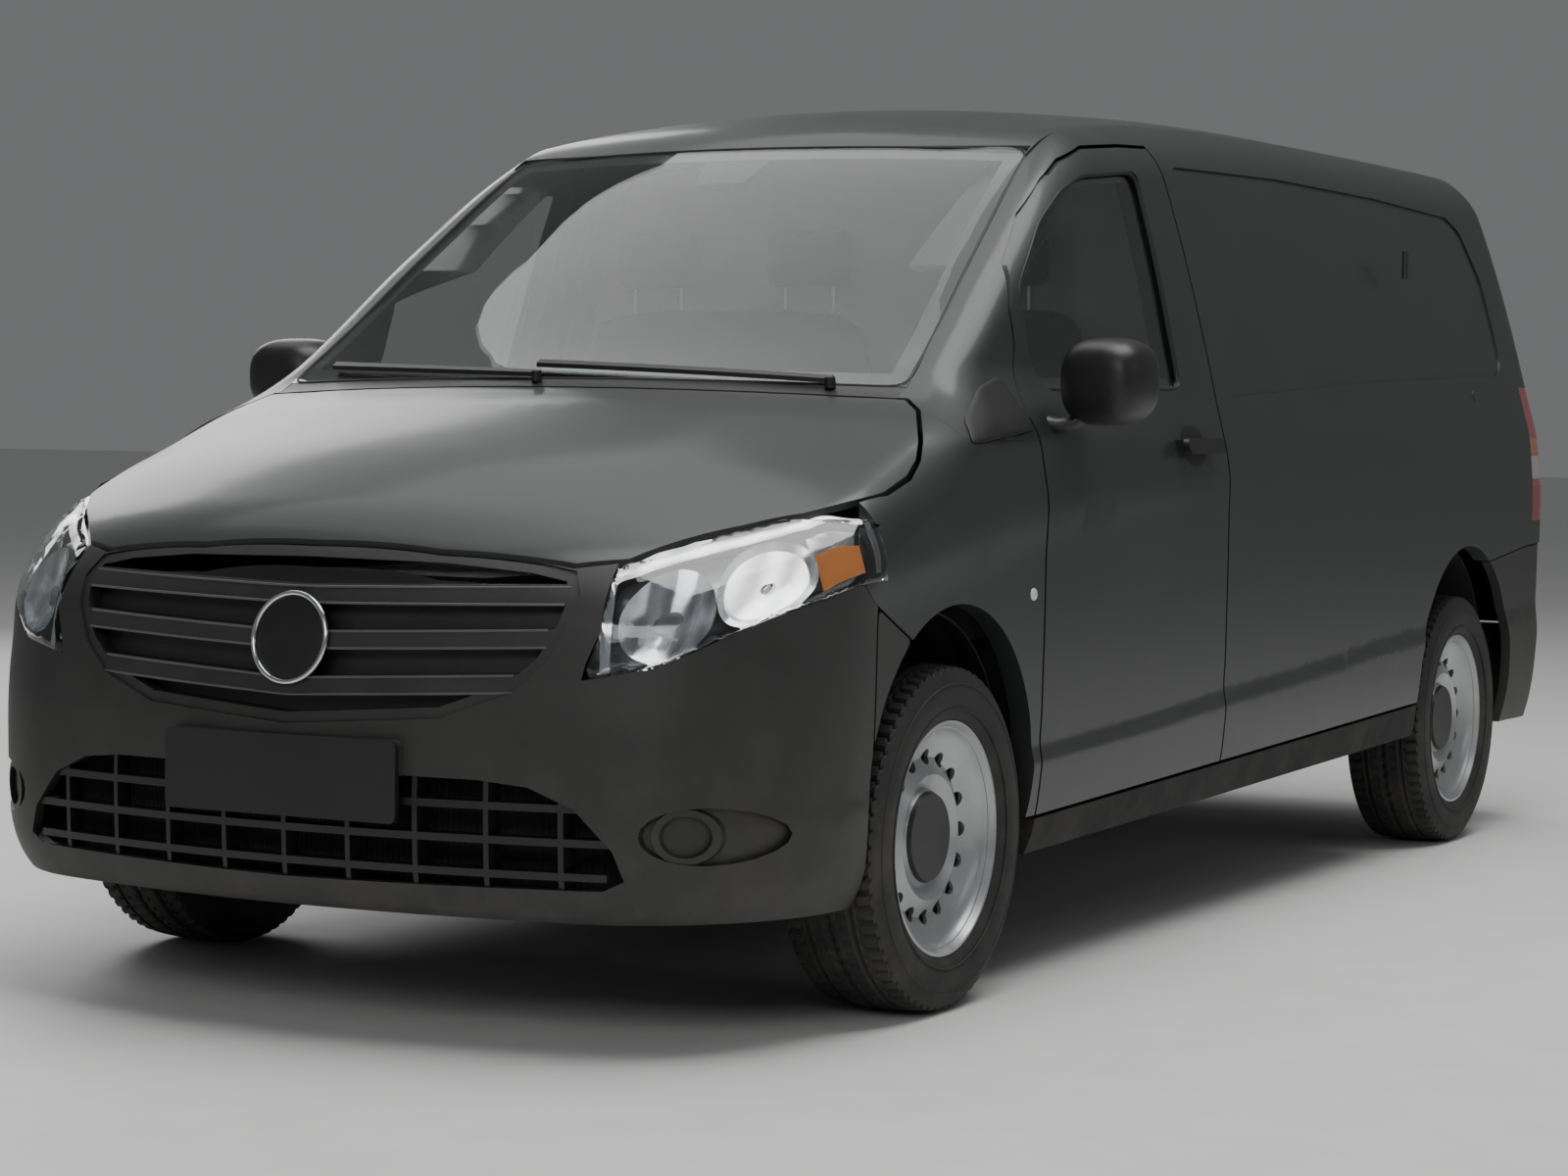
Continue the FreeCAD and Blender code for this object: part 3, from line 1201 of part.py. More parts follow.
def build_knuckle():
    """Left front knuckle with its stub axle, lower pin and damper on the steering axis."""
    w = KNUCKLE_WALL / 2
    low, high = kingpin(-KNUCKLE_HALF), kingpin(KNUCKLE_HALF)
    body = prism([(low.x - w, low.z), (low.x + w, low.z), (high.x + w, high.z), (high.x - w, high.z)], "y",
                 FRONT_AXLE_Y - KNUCKLE_HALF / 2, FRONT_AXLE_Y + KNUCKLE_HALF / 2)
    length = FRONT_WHEEL_X + HUB_BORE_DEPTH - FINE - KINGPIN_X
    body = body.fuse(cylinder(STUB_RADIUS, length, kingpin(0), Vector(1, 0, 0)))
    axis = kingpin_axis()
    body = body.fuse(cylinder(DAMPER_RADIUS, DAMPER_LENGTH + w, kingpin(KNUCKLE_HALF - w), axis))
    body = body.fuse(cylinder(ROD_RADIUS, ROD_LENGTH, kingpin(KNUCKLE_HALF + DAMPER_LENGTH), axis))
    return body.fuse(cylinder(PIN_RADIUS, PIN_LENGTH + w, kingpin(-KNUCKLE_HALF - PIN_LENGTH), axis))


TOWER_TOP = 835.0
TOWER_WALL = 26.0
TOWER_HALF = 70.0
TOWER_OUTER_X = 690.0


def build_tower():
    """Left suspension tower over the rail, with the bearing for the damper's rod."""
    low = TOWER_TOP - TOWER_WALL
    y0, y1 = FRONT_AXLE_Y - TOWER_HALF, FRONT_AXLE_Y + TOWER_HALF
    tower = box((RAIL_OUTER_X - TOWER_WALL, y0, low), (TOWER_OUTER_X, y1, TOWER_TOP))
    leg = box((RAIL_OUTER_X - TOWER_WALL, y0, FLOOR_TOP_Z - FLOOR_WALL - FINE), (RAIL_OUTER_X, y1, low))
    bore = cylinder(ROD_RADIUS + RUNNING_GAP, FAR, kingpin(KNUCKLE_HALF), kingpin_axis())
    return tower.fuse(leg).cut(bore)


def build_subframe():
    """Front cross frame with lower arms whose ends hold the knuckles' pins."""
    frame = box((-SUBFRAME_HALF, FRONT_AXLE_Y - SUBFRAME_DEPTH, SUBFRAME_LOW),
                (SUBFRAME_HALF, FRONT_AXLE_Y + SUBFRAME_DEPTH, SUBFRAME_HIGH))
    bottom = FLOOR_TOP_Z - FLOOR_WALL - RAIL_HIGH
    post = box((RAIL_INNER_X, FRONT_AXLE_Y - SUBFRAME_DEPTH, SUBFRAME_LOW),
               (RAIL_OUTER_X, FRONT_AXLE_Y + SUBFRAME_DEPTH / 2, bottom - SEAT_GAP))
    foot = box((SUBFRAME_HALF - FINE, FRONT_AXLE_Y - SUBFRAME_DEPTH, SUBFRAME_LOW),
               (RAIL_OUTER_X, FRONT_AXLE_Y + SUBFRAME_DEPTH, SUBFRAME_HIGH))
    end = kingpin(-KNUCKLE_HALF - PIN_LENGTH / 2)
    arm = box((SUBFRAME_HALF, FRONT_AXLE_Y - ARM_WIDTH / 2, ARM_BOTTOM),
              (end.x, FRONT_AXLE_Y + ARM_WIDTH / 2, ARM_TOP))
    rise = box((SUBFRAME_HALF, FRONT_AXLE_Y - ARM_WIDTH / 2, ARM_BOTTOM),
               (RAIL_OUTER_X, FRONT_AXLE_Y + ARM_WIDTH / 2, SUBFRAME_LOW + FINE))
    socket = cylinder(SOCKET_RADIUS, ARM_TOP - ARM_BOTTOM, Vector(end.x, FRONT_AXLE_Y, ARM_BOTTOM),
                      Vector(0, 0, 1))
    bore = cylinder(PIN_RADIUS + RUNNING_GAP, FAR / 4, kingpin(-KNUCKLE_HALF - PIN_LENGTH - ARM_WIDTH),
                    kingpin_axis())
    left = post.fuse(foot).fuse(arm).fuse(rise).fuse(socket).cut(bore)
    return frame.fuse(left).fuse(mirrored(left)).removeSplitter()


SUBFRAME_HALF = 430.0
SUBFRAME_DEPTH = 150.0
SUBFRAME_LOW = 214.0
SUBFRAME_HIGH = 290.0
BEAM_RADIUS = 42.0
BEAM_END_X = 700.0
TRAIL_FRONT_Y = 1120.0
TRAIL_HALF = 26.0
SPRING_RADIUS = 52.0


def build_rear_axle():
    """Beam with stub axles, trailing arms and springs under the rails."""
    z = TYRE_RADIUS
    beam = cylinder(BEAM_RADIUS, BEAM_END_X * 2, Vector(-BEAM_END_X, REAR_AXLE_Y, z), Vector(1, 0, 0))
    reach = REAR_WHEEL_X + HUB_BORE_DEPTH - FINE
    beam = beam.fuse(cylinder(STUB_RADIUS, reach * 2, Vector(-reach, REAR_AXLE_Y, z), Vector(1, 0, 0)))
    bottom = FLOOR_TOP_Z - FLOOR_WALL - RAIL_HIGH
    mid = (RAIL_INNER_X + RAIL_OUTER_X) / 2
    for side in (1, -1):
        arm = prism([(TRAIL_FRONT_Y, z - TRAIL_HALF), (REAR_AXLE_Y, z - TRAIL_HALF),
                     (REAR_AXLE_Y, z + TRAIL_HALF),
                     (TRAIL_FRONT_Y + ARM_WIDTH, z + TRAIL_HALF),
                     (TRAIL_FRONT_Y + ARM_WIDTH, bottom - SEAT_GAP),
                     (TRAIL_FRONT_Y, bottom - SEAT_GAP)], "x", side * mid - TRAIL_HALF,
                     side * mid + TRAIL_HALF)
        spring = cylinder(SPRING_RADIUS, bottom - SEAT_GAP - z, Vector(side * mid, REAR_AXLE_Y, z),
                          Vector(0, 0, 1))
        beam = beam.fuse(arm).fuse(spring)
    return beam.removeSplitter()


LINER_WALL = 5.0
LINER_INNER_X = RAIL_OUTER_X + 0.3
LINER_EDGE_X = 868.0
LINER_SHOULDER_X = 800.0
LINER_EDGE_RADIUS = 372.0
LINER_CUT_Z = 250.0
STRUT_HOLE = 40.0


def build_liner():
    """Left front wheel liner: a ring over the wheel with straight skirts before and behind it."""
    y, z = FRONT_AXLE_Y, LINER_RADIUS
    wall = LINER_WALL
    inner = LINER_INNER_X + wall
    points = [(LINER_INNER_X, 0), (LINER_INNER_X, LINER_RADIUS + wall),
              (LINER_SHOULDER_X, LINER_RADIUS + wall),
              (LINER_EDGE_X, LINER_EDGE_RADIUS + wall), (LINER_EDGE_X, LINER_EDGE_RADIUS),
              (LINER_SHOULDER_X, LINER_RADIUS), (inner, LINER_RADIUS), (inner, 0)]
    corners = [Vector(a, y, z + r) for a, r in points]
    drum = Part.Face(outline(corners)).revolve(Vector(0, y, z), Vector(1, 0, 0), 360)
    drum = drum.cut(box((0, -FAR, -FAR), (FAR, FAR, TYRE_RADIUS)))
    for side in (1, -1):
        near, edge = SKIRT_REACH, SKIRT_REACH - LINER_RADIUS + LINER_EDGE_RADIUS
        skirt = prism([(LINER_INNER_X, y + side * (near - wall * 2)),
                       (LINER_INNER_X, y + side * (near + wall)),
                       (LINER_SHOULDER_X, y + side * (near + wall)),
                       (LINER_EDGE_X, y + side * (edge + wall)),
                       (LINER_EDGE_X, y + side * edge), (LINER_SHOULDER_X, y + side * near),
                       (inner, y + side * near), (inner, y + side * (near - wall * 2))],
                      "z", LINER_CUT_Z, TYRE_RADIUS + SKIRT_LAP)
        drum = drum.fuse(skirt)
    drum = drum.cut(box((0, y - SUBFRAME_DEPTH - SHUT_GAP, 0), (FAR, y + SUBFRAME_DEPTH + SHUT_GAP,
                                                                z)).common(
        box((0, -FAR, 0), (inner + FINE, FAR, z))))
    hole = cylinder(STRUT_HOLE, FAR, kingpin(0), kingpin_axis())
    drum = drum.cut(hole)
    return drum.cut(box((0, y - TOWER_HALF - FINE, FLOOR_TOP_Z),
                        (TOWER_OUTER_X + FINE, y + TOWER_HALF + FINE, FAR)))


SKIRT_REACH = 396.0
SKIRT_LAP = 12.0


FIREWALL_Y = -1262.0
FIREWALL_WALL = 12.0
PLENUM_Y = -1425.0
PLENUM_Z = 1090.0
PLENUM_TOP = 1175.0
INNER_CLEAR = 8.0


def section_outline(y, wall, low, high_gap):
    """Inside of the body at a station, from its floor round the roof, seen from ahead."""
    level = -(wall + INNER_CLEAR)
    points = []
    for row in spread(0.25, 1.0, 7) + [1.2, 1.4, 1.6, 1.8]:
        origin, direction = side_ray((y, 0.0), row)
        p = hit(origin, direction, level)
        points.append((p.x, p.z))
    for share in (0.55, 0.35, 0.15):
        p = hit(Vector(HALF_WIDTH * share, y, TOP_START_Z), Vector(0, 0, 1), level)
        points.append((p.x, p.z))
    first = (points[0][0], low)
    right = [first] + [p for p in points if p[1] > low + FINE]
    return right + [(-x, z) for x, z in reversed(right)]


def build_bulkhead():
    """Panel between the cab and the load space."""
    y = BULKHEAD_Y
    return prism(section_outline(y, OUTER_WALL, FLOOR_TOP_Z + SEAT_GAP, 0), "y", y, y + BULKHEAD_WALL)


BULKHEAD_Y = -100.0
BULKHEAD_WALL = 16.0


def build_firewall():
    """Upright wall behind the engine with the air plenum's tray on top."""
    half = FIREWALL_HALF
    low = FLOOR_TOP_Z + SEAT_GAP
    wall = box((-half, FIREWALL_Y, low), (half, FIREWALL_Y + FIREWALL_WALL, PLENUM_Z))
    tray = box((-half, PLENUM_Y, PLENUM_Z - FIREWALL_WALL), (half, FIREWALL_Y + FIREWALL_WALL, PLENUM_Z))
    lip = box((-half, PLENUM_Y - FIREWALL_WALL, PLENUM_Z - FIREWALL_WALL),
              (half, PLENUM_Y, PLENUM_TOP - TOP_SWEEP / 4))
    return wall.fuse(tray).fuse(lip).removeSplitter().cut(liner_room())


FIREWALL_HALF = 700.0
DASH_HALF = 810.0
# Length and height shares of the dashboard's side view, ahead of the firewall's own lines
DASH_SHARES = (
    (0.2160, 0.5920), (0.2590, 0.6150), (0.3040, 0.5920), (0.3150, 0.5510), (0.3100, 0.4880),
    (0.2940, 0.4410),
    (0.2830, 0.3680),
)
WHEEL_Y = -770.0
WHEEL_Z = 1015.0
SEAT_X = 400.0
STEER_RISE = 38.0
RING_RADIUS = 182.0
RING_SECTION = 15.0
RING_SIDES = 8
COLUMN_RADIUS = 42.0
SHAFT_RADIUS = 14.0
SHAFT_DEPTH = 60.0
HUB_PAD_RADIUS = 62.0
HUB_PAD_WALL = 34.0
COLUMN_GAP = 12.0


def steer_axis():
    """Direction from the dashboard towards the driver along the steering column."""
    rise = math.radians(STEER_RISE)
    return Vector(0, math.cos(rise), math.sin(rise))


def build_dashboard():
    """Dashboard with the steering column's shroud and the bore for its shaft."""
    shell = side_points(DASH_SHARES)
    back = FIREWALL_Y + FIREWALL_WALL + SEAT_GAP
    base = PLENUM_Z + SEAT_GAP
    dash = prism(shell + [(back, shell[-1][1]), (back, base), (shell[0][0], base)], "x", -DASH_HALF,
                 DASH_HALF)
    axis = steer_axis()
    centre = Vector(SEAT_X, WHEEL_Y, WHEEL_Z)
    start = centre - axis * (HUB_PAD_WALL / 2 + COLUMN_GAP)
    dash = dash.fuse(cylinder(COLUMN_RADIUS, COLUMN_RADIUS * 6, start, axis * -1))
    return dash.cut(cylinder(SHAFT_RADIUS + RUNNING_GAP, SHAFT_DEPTH + FINE, start, axis * -1))


def build_steering_wheel():
    """Steering wheel with spokes, hub and column."""
    axis = steer_axis()
    centre = Vector(SEAT_X, WHEEL_Y, WHEEL_Z)
    across = Vector(1, 0, 0)
    turns = [2 * math.pi * k / RING_SIDES for k in range(RING_SIDES)]
    corners = [centre + across * (RING_RADIUS + RING_SECTION * math.cos(a)) + axis * (RING_SECTION * math.sin(a))
               for a in turns]
    ring = Part.Face(outline(corners)).revolve(centre, axis, 360)
    hub = cylinder(HUB_PAD_RADIUS, HUB_PAD_WALL, centre - axis * (HUB_PAD_WALL / 2), axis)
    shaft = cylinder(SHAFT_RADIUS, HUB_PAD_WALL / 2 + COLUMN_GAP + SHAFT_DEPTH, centre, axis * -1)
    wheel = ring.fuse(hub).fuse(shaft)
    for turn in (90.0, 210.0, 330.0):
        a = math.radians(turn)
        out = Vector(1, 0, 0) * math.sin(a) + axis.cross(Vector(1, 0, 0)) * math.cos(a)
        wheel = wheel.fuse(cylinder(RING_SECTION * 0.8, RING_RADIUS, centre, out))
    return wheel


SEAT_WIDTH = 500.0
SEAT_FRONT_Y = -640.0
SEAT_BACK_Y = -170.0
CUSHION_LOW = 770.0
CUSHION_WALL = 135.0
BACK_WALL = 125.0
BACK_TOP = 1420.0
BACK_LEAN = 62.0
SEAT_ROUND = 30.0
HEAD_WIDTH = 260.0
HEAD_HIGH = 190.0
BENCH_WIDTH = 840.0
BENCH_X = -320.0


def build_seat(x, width, places):
    """Seat with its pedestal, cushion, leaning back and headrests on posts."""
    half = width / 2
    pedestal = box((x - half * 0.8, SEAT_FRONT_Y + SEAT_ROUND * 2, FLOOR_TOP_Z + SEAT_GAP),
                   (x + half * 0.8, SEAT_BACK_Y - SEAT_ROUND, CUSHION_LOW + SEAT_ROUND))
    cushion = box((x - half, SEAT_FRONT_Y, CUSHION_LOW), (x + half, SEAT_BACK_Y - SEAT_ROUND,
                                                          CUSHION_LOW + CUSHION_WALL))
    cushion = cushion.makeChamfer(SEAT_ROUND, cushion.Edges)
    low = CUSHION_LOW + SEAT_ROUND
    y = SEAT_BACK_Y - BACK_WALL
    back = prism([(y, low), (y + BACK_WALL - BACK_LEAN, low), (y + BACK_WALL, BACK_TOP),
                  (y + BACK_LEAN, BACK_TOP)], "x", x - half, x + half)
    back = back.makeChamfer(SEAT_ROUND * 0.6, back.Edges)
    seat = pedestal.fuse(cushion).fuse(back)
    for k in range(places):
        cx = x + (k - (places - 1) / 2) * width / places
        head = box((cx - HEAD_WIDTH / 2, y + BACK_LEAN, BACK_TOP + HEAD_GAP),
                   (cx + HEAD_WIDTH / 2, y + BACK_WALL, BACK_TOP + HEAD_HIGH))
        seat = seat.fuse(head.makeChamfer(SEAT_ROUND * 0.7, head.Edges))
        for side in (-1, 1):
            post = cylinder(HEAD_POST_RADIUS, HEAD_HIGH, Vector(cx + side * HEAD_WIDTH / 4,
                                                                y + BACK_WALL * 0.75,
                                                                BACK_TOP - HEAD_HIGH / 2), Vector(0, 0, 1))
            seat = seat.fuse(post)
    return seat


HEAD_GAP = 16.0
HEAD_POST_RADIUS = 7.0
MIRROR_INNER_X = 950.0
MIRROR_OUTER_X = 1124.0
MIRROR_FRONT_Y = -1095.0
MIRROR_BACK_Y = -985.0
MIRROR_LOW = 1150.0
MIRROR_HIGH = 1338.0
MIRROR_ROUND = 42.0
MIRROR_FOOT = 45.0


def build_mirror():
    """Left door mirror: rounded housing on a foot that lies against the door."""
    house = box((MIRROR_INNER_X, MIRROR_FRONT_Y, MIRROR_LOW), (MIRROR_OUTER_X, MIRROR_BACK_Y, MIRROR_HIGH))
    house = house.makeFillet(MIRROR_ROUND, house.Edges)
    foot = box((MIRROR_INNER_X - MIRROR_FOOT * 2, MIRROR_FRONT_Y + MIRROR_FOOT / 2,
                MIRROR_LOW - MIRROR_FOOT / 2),
               (MIRROR_INNER_X + MIRROR_FOOT, MIRROR_BACK_Y - MIRROR_FOOT / 2, MIRROR_LOW + MIRROR_FOOT))
    columns = side_columns(DOOR_FRONT_Y - SHUT_GAP, DOOR_REAR_Y + SHUT_GAP, 13)
    skin = side_skin(columns, OUTER_WALL * 3, SEAT_GAP * 2)
    return foot.fuse(house).cut(skin)


def build_cowl():
    """Scuttle between the bonnet and the windscreen."""
    skin = slab(top_ray, spread(-SCREEN_GRID_SHARE, SCREEN_GRID_SHARE, 13),
                spread(COWL_SHARE - EPS_SHARE, SCREEN_FOOT_SHARE + EPS_SHARE, 4), COWL_WALL)
    cowl = skin.common(box((-SCREEN_FOOT_X, -FAR, 0), (SCREEN_FOOT_X, FAR, FAR)))
    cowl = cowl.cut(prism(screen_outline(SEAT_GAP), "z", TOP_START_Z, FAR))
    return largest(cowl.cut(prism(hood_outline(SHUT_GAP), "z", 0, FAR)))


COWL_WALL = 18.0
WIPER_WIDTH = 14.0
WIPER_WALL = 9.0
WIPER_LEVEL = 18.0
# Ends of each wiper as x and length share along the swept screen
WIPERS = ((-640.0, 0.1960, -30.0, 0.1872), (-60.0, 0.1960, 610.0, 0.1872))


def build_wipers():
    """Blades that rest over the foot of the windscreen, each with its pivot in the scuttle."""
    parts = []
    for x0, s0, x1, s1 in WIPERS:
        def ray(column, row, a=x0, b=x1, c=s0, d=s1):
            x = a + (b - a) * column
            share = c + (d - c) * column + row * WIPER_WIDTH / BODY_LENGTH
            return Vector(x, at(share) + TOP_SWEEP * (x / HALF_WIDTH) ** 2, TOP_START_Z), Vector(0, 0, 1)
        blade = slab(ray, spread(0, 1, 7), (0.0, 0.5, 1.0), WIPER_WALL, WIPER_LEVEL)
        x = x1
        y = at(SCREEN_FOOT_SHARE) - WIPER_WIDTH + TOP_SWEEP * (x / HALF_WIDTH) ** 2
        base = hit(Vector(x, y, TOP_START_Z), Vector(0, 0, 1), SEAT_GAP)
        tip = hit(Vector(x, y, TOP_START_Z), Vector(0, 0, 1), WIPER_LEVEL)
        post = cylinder(WIPER_WIDTH * 0.8, tip.z - base.z + WIPER_WALL * 0.4, base, Vector(0, 0, 1))
        parts.append(blade.fuse(post))
    wipers = Part.makeCompound(parts)
    under = slab(top_ray, spread(-SCREEN_GRID_SHARE, SCREEN_GRID_SHARE, 9),
                 spread(COWL_SHARE, COWL_SHARE * 1.2, 5),
                 COWL_WALL * 2, SEAT_GAP)
    return wipers.cut(under)


ENGINE_HALF = 230.0
ENGINE_FRONT_Y = -2105.0
ENGINE_REAR_Y = -1480.0
ENGINE_TOP = 840.0


def build_engine():
    """Engine as one plain block."""
    return box((-ENGINE_HALF, ENGINE_FRONT_Y, SUBFRAME_HIGH + SEAT_GAP),
               (ENGINE_HALF, ENGINE_REAR_Y, ENGINE_TOP))


def pair(name, shape, nodes):
    """Add a left piece and its mirror image."""
    nodes[name + "_left"] = shape
    nodes[name + "_right"] = mirrored(shape)


def build_all():
    """Every node by name."""
    nodes = {}
    panel, tail_lamp = build_side_panel()
    panel = panel.cut(blank_recess())
    panel = panel.fuse(build_rear_jamb())
    pair("side_panel", panel, nodes)
    pair("tail_lamp", tail_lamp, nodes)
    start, end = DOOR_REAR_Y + SHUT_GAP, SLIDE_REAR_Y
    opening = [(start - FAR, 0), (end + SHUT_GAP, 0), (end + SHUT_GAP, SIDE_TOP_Z + SHUT_GAP),
               (start - FAR, SIDE_TOP_Z + SHUT_GAP)]
    leaf = [(start, 0), (end, 0), (end, SIDE_TOP_Z), (start, SIDE_TOP_Z)]
    leaf = nodes["side_panel_right"].common(prism(leaf, "x", -FAR, 0))
    nodes["sliding_door"] = largest(leaf).fuse(mirrored(side_handle(DOOR_REAR_Y + HANDLE_INSET, HANDLE_Z)))
    right = nodes["side_panel_right"].cut(prism(opening, "x", -FAR, 0))
    nodes["side_panel_left"] = nodes["side_panel_left"].fuse(build_centre_post(FINE))
    nodes["side_panel_right"] = right.fuse(mirrored(build_centre_post(-POST_GAP)))
    pair("fender", build_fender(), nodes)
    pair("a_pillar", build_pillar(), nodes)
    door, pane = build_doors()
    pair("door", door, nodes)
    pair("door_glass", pane, nodes)
    nodes["hood"], nodes["windscreen"] = build_top()
    nodes["roof"] = build_roof()
    bumper, grille, lower, lamp = build_front()
    nodes["front_bumper"], nodes["grille"], nodes["lower_grille"] = bumper, grille, lower
    pair("headlamp", lamp, nodes)
    rear_door, rear_pane = build_rear_door()
    pair("rear_door", rear_door, nodes)
    pair("rear_glass", rear_pane, nodes)
    nodes["rear_bumper"] = build_rear_bumper()
    nodes["floor_pan"] = build_floor()
    nodes["underframe"] = build_underframe()
    nodes["firewall"] = build_firewall()
    nodes["bulkhead"] = build_bulkhead()
    nodes["cowl_trim"] = build_cowl()
    nodes["wipers"] = build_wipers()
    nodes["dashboard"] = build_dashboard()
    nodes["steering_wheel"] = build_steering_wheel()
    nodes["seat_driver"] = build_seat(SEAT_X, SEAT_WIDTH, 1)
    nodes["seat_bench"] = build_seat(BENCH_X, BENCH_WIDTH, 2)
    pair("mirror", build_mirror(), nodes)
    nodes["engine_block"] = build_engine()
    nodes["front_subframe"] = build_subframe()
    pair("knuckle", build_knuckle(), nodes)
    nodes["rear_axle"] = build_rear_axle()
    pair("wheel_liner", build_liner(), nodes)
    for name, x, y, side in (("fl", FRONT_WHEEL_X, FRONT_AXLE_Y, 1), ("fr", -FRONT_WHEEL_X, FRONT_AXLE_Y,
                                                                      -1),
                             ("rl", REAR_WHEEL_X, REAR_AXLE_Y, 1), ("rr", -REAR_WHEEL_X, REAR_AXLE_Y, -1)):
        nodes["tyre_" + name], nodes["rim_" + name] = build_wheel(x, y, side)
    return nodes


for node_name, node_shape in build_all().items():
    save(node_name, node_shape)
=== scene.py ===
"""Panel van with a solid side panel, glazed cab and twin rear doors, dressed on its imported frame."""

import json
import logging
import math
from dataclasses import dataclass, replace
from enum import Enum
from functools import cache
from typing import Optional, Sequence

import bpy
import numpy as np
from mathutils import Matrix, Vector

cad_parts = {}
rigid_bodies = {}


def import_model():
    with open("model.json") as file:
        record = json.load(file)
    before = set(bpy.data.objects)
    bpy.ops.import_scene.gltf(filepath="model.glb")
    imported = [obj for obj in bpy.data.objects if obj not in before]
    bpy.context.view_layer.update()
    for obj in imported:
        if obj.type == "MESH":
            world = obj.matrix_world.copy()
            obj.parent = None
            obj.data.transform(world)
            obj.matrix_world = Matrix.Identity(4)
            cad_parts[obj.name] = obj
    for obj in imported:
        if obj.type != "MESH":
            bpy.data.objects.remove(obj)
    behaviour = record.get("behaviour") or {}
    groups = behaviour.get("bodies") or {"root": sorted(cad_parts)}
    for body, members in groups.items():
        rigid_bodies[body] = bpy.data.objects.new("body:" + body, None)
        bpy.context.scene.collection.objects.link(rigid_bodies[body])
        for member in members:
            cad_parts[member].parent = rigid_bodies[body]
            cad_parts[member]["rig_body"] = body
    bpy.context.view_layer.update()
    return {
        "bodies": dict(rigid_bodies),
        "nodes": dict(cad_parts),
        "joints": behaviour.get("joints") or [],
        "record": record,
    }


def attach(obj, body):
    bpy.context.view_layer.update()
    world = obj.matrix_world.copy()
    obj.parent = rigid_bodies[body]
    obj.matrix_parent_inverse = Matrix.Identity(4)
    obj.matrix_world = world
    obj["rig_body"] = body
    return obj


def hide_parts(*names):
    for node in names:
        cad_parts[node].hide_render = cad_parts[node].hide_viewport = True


LOG = logging.getLogger("panel_van")
Array = np.ndarray
Colour = tuple[float, float, float]
Pair = tuple[float, float]
Table = tuple[Pair, ...]


class Side(Enum):
    """Which side of the van a piece is on; the left is +X."""

    LEFT = 1
    RIGHT = -1

    @property
    def word(self) -> str:
        """The side's name as the frame's nodes spell it."""
        return self.name.lower()

    @property
    def turn(self) -> Array:
        """Factors that carry a point of the left side to this one."""
        return np.array([self.value, 1.0, 1.0])


class View(Enum):
    """A flat view that pieces are laid out in: the axis it looks along, and a place outside the body."""

    SIDE = (0, 1.4)
    FRONT = (1, -2.8)
    BACK = (1, 2.7)


def smooth(table: Table, t: Array) -> Array:
    """Reads a table of shares as a smooth curve without overshoot.

    The curve is a cubic Hermite through the points. An inner slope is the harmonic mean of the two
    secants beside it, or nothing where they differ in sign, and an end slope is the end's secant,
    which is carried on in a straight line outside the table.

    Args:
        table: Pairs of place and value.
        t: Places to read.

    Returns:
        The values at those places.
    """
    xs, ys = np.array(table).T
    t = np.asarray(t, float)
    secant = np.diff(ys) / np.diff(xs)
    slope = np.empty_like(xs)
    slope[0], slope[-1] = secant[0], secant[-1]
    product, total = secant[:-1] * secant[1:], secant[:-1] + secant[1:]
    slope[1:-1] = np.where(product > 0, 2 * product / np.where(total == 0, 1.0, total), 0.0)
    k = np.clip(np.searchsorted(xs, t) - 1, 0, len(secant) - 1)
    step = xs[k + 1] - xs[k]
    u = np.clip((t - xs[k]) / step, 0.0, 1.0)
    inner = ((1 + 2 * u) * (1 - u) ** 2 * ys[k] + u * (1 - u) ** 2 * step * slope[k]
             + u * u * (3 - 2 * u) * ys[k + 1] + u * u * (u - 1) * step * slope[k + 1])
    return inner + np.minimum(t - xs[0], 0) * slope[0] + np.maximum(t - xs[-1], 0) * slope[-1]


def straight(table: Table, t: Array) -> Array:
    """Reads a table of shares along straight lines between its points."""
    return np.interp(t, *np.array(table).T)


def ease(t: Array) -> Array:
    """Rises from 0 to 1 as t does, level at both ends."""
    t = np.clip(t, 0.0, 1.0)
    return t * t * (3 - 2 * t)


def bend(value: Array, power: float) -> Array:
    """A value raised to a power with its sign kept."""
    return np.sign(value) * np.abs(value) ** power


def turns(count: int) -> Array:
    """Angles evenly round a circle."""
    return np.linspace(0, 2 * np.pi, count, endpoint=False)


def circle(count: int, power: float = 1.0) -> Array:
    """Points of a unit circle, or of a superellipse, squarer as the power of sine and cosine falls."""
    turn = turns(count)
    return bend(np.stack([np.cos(turn), np.sin(turn)], axis=-1), power)


def spread(rows: Array, columns: Array) -> tuple[Array, Array]:
    """Two parameters spread over a grid, the first down its rows."""
    return tuple(np.meshgrid(rows, columns, indexing="ij"))


def stacked(*parts: object) -> Array:
    """Points from their coordinates, each an array or a number, spread to one shape."""
    return np.stack(np.broadcast_arrays(*parts), axis=-1).astype(float)


def unit(rows: Array) -> Array:
    """Vectors scaled to a length of one."""
    return rows / np.maximum(np.linalg.norm(rows, axis=-1, keepdims=True), 1e-15)


def rounded(a: Array, b: Array, radius: object) -> Array:
    """Meets two distances in a round corner: the hypotenuse of what each exceeds the corner's centre by."""
    a, b = a + radius, b + radius
    return np.minimum(np.maximum(a, b), 0) + np.hypot(np.maximum(a, 0), np.maximum(b, 0)) - radius


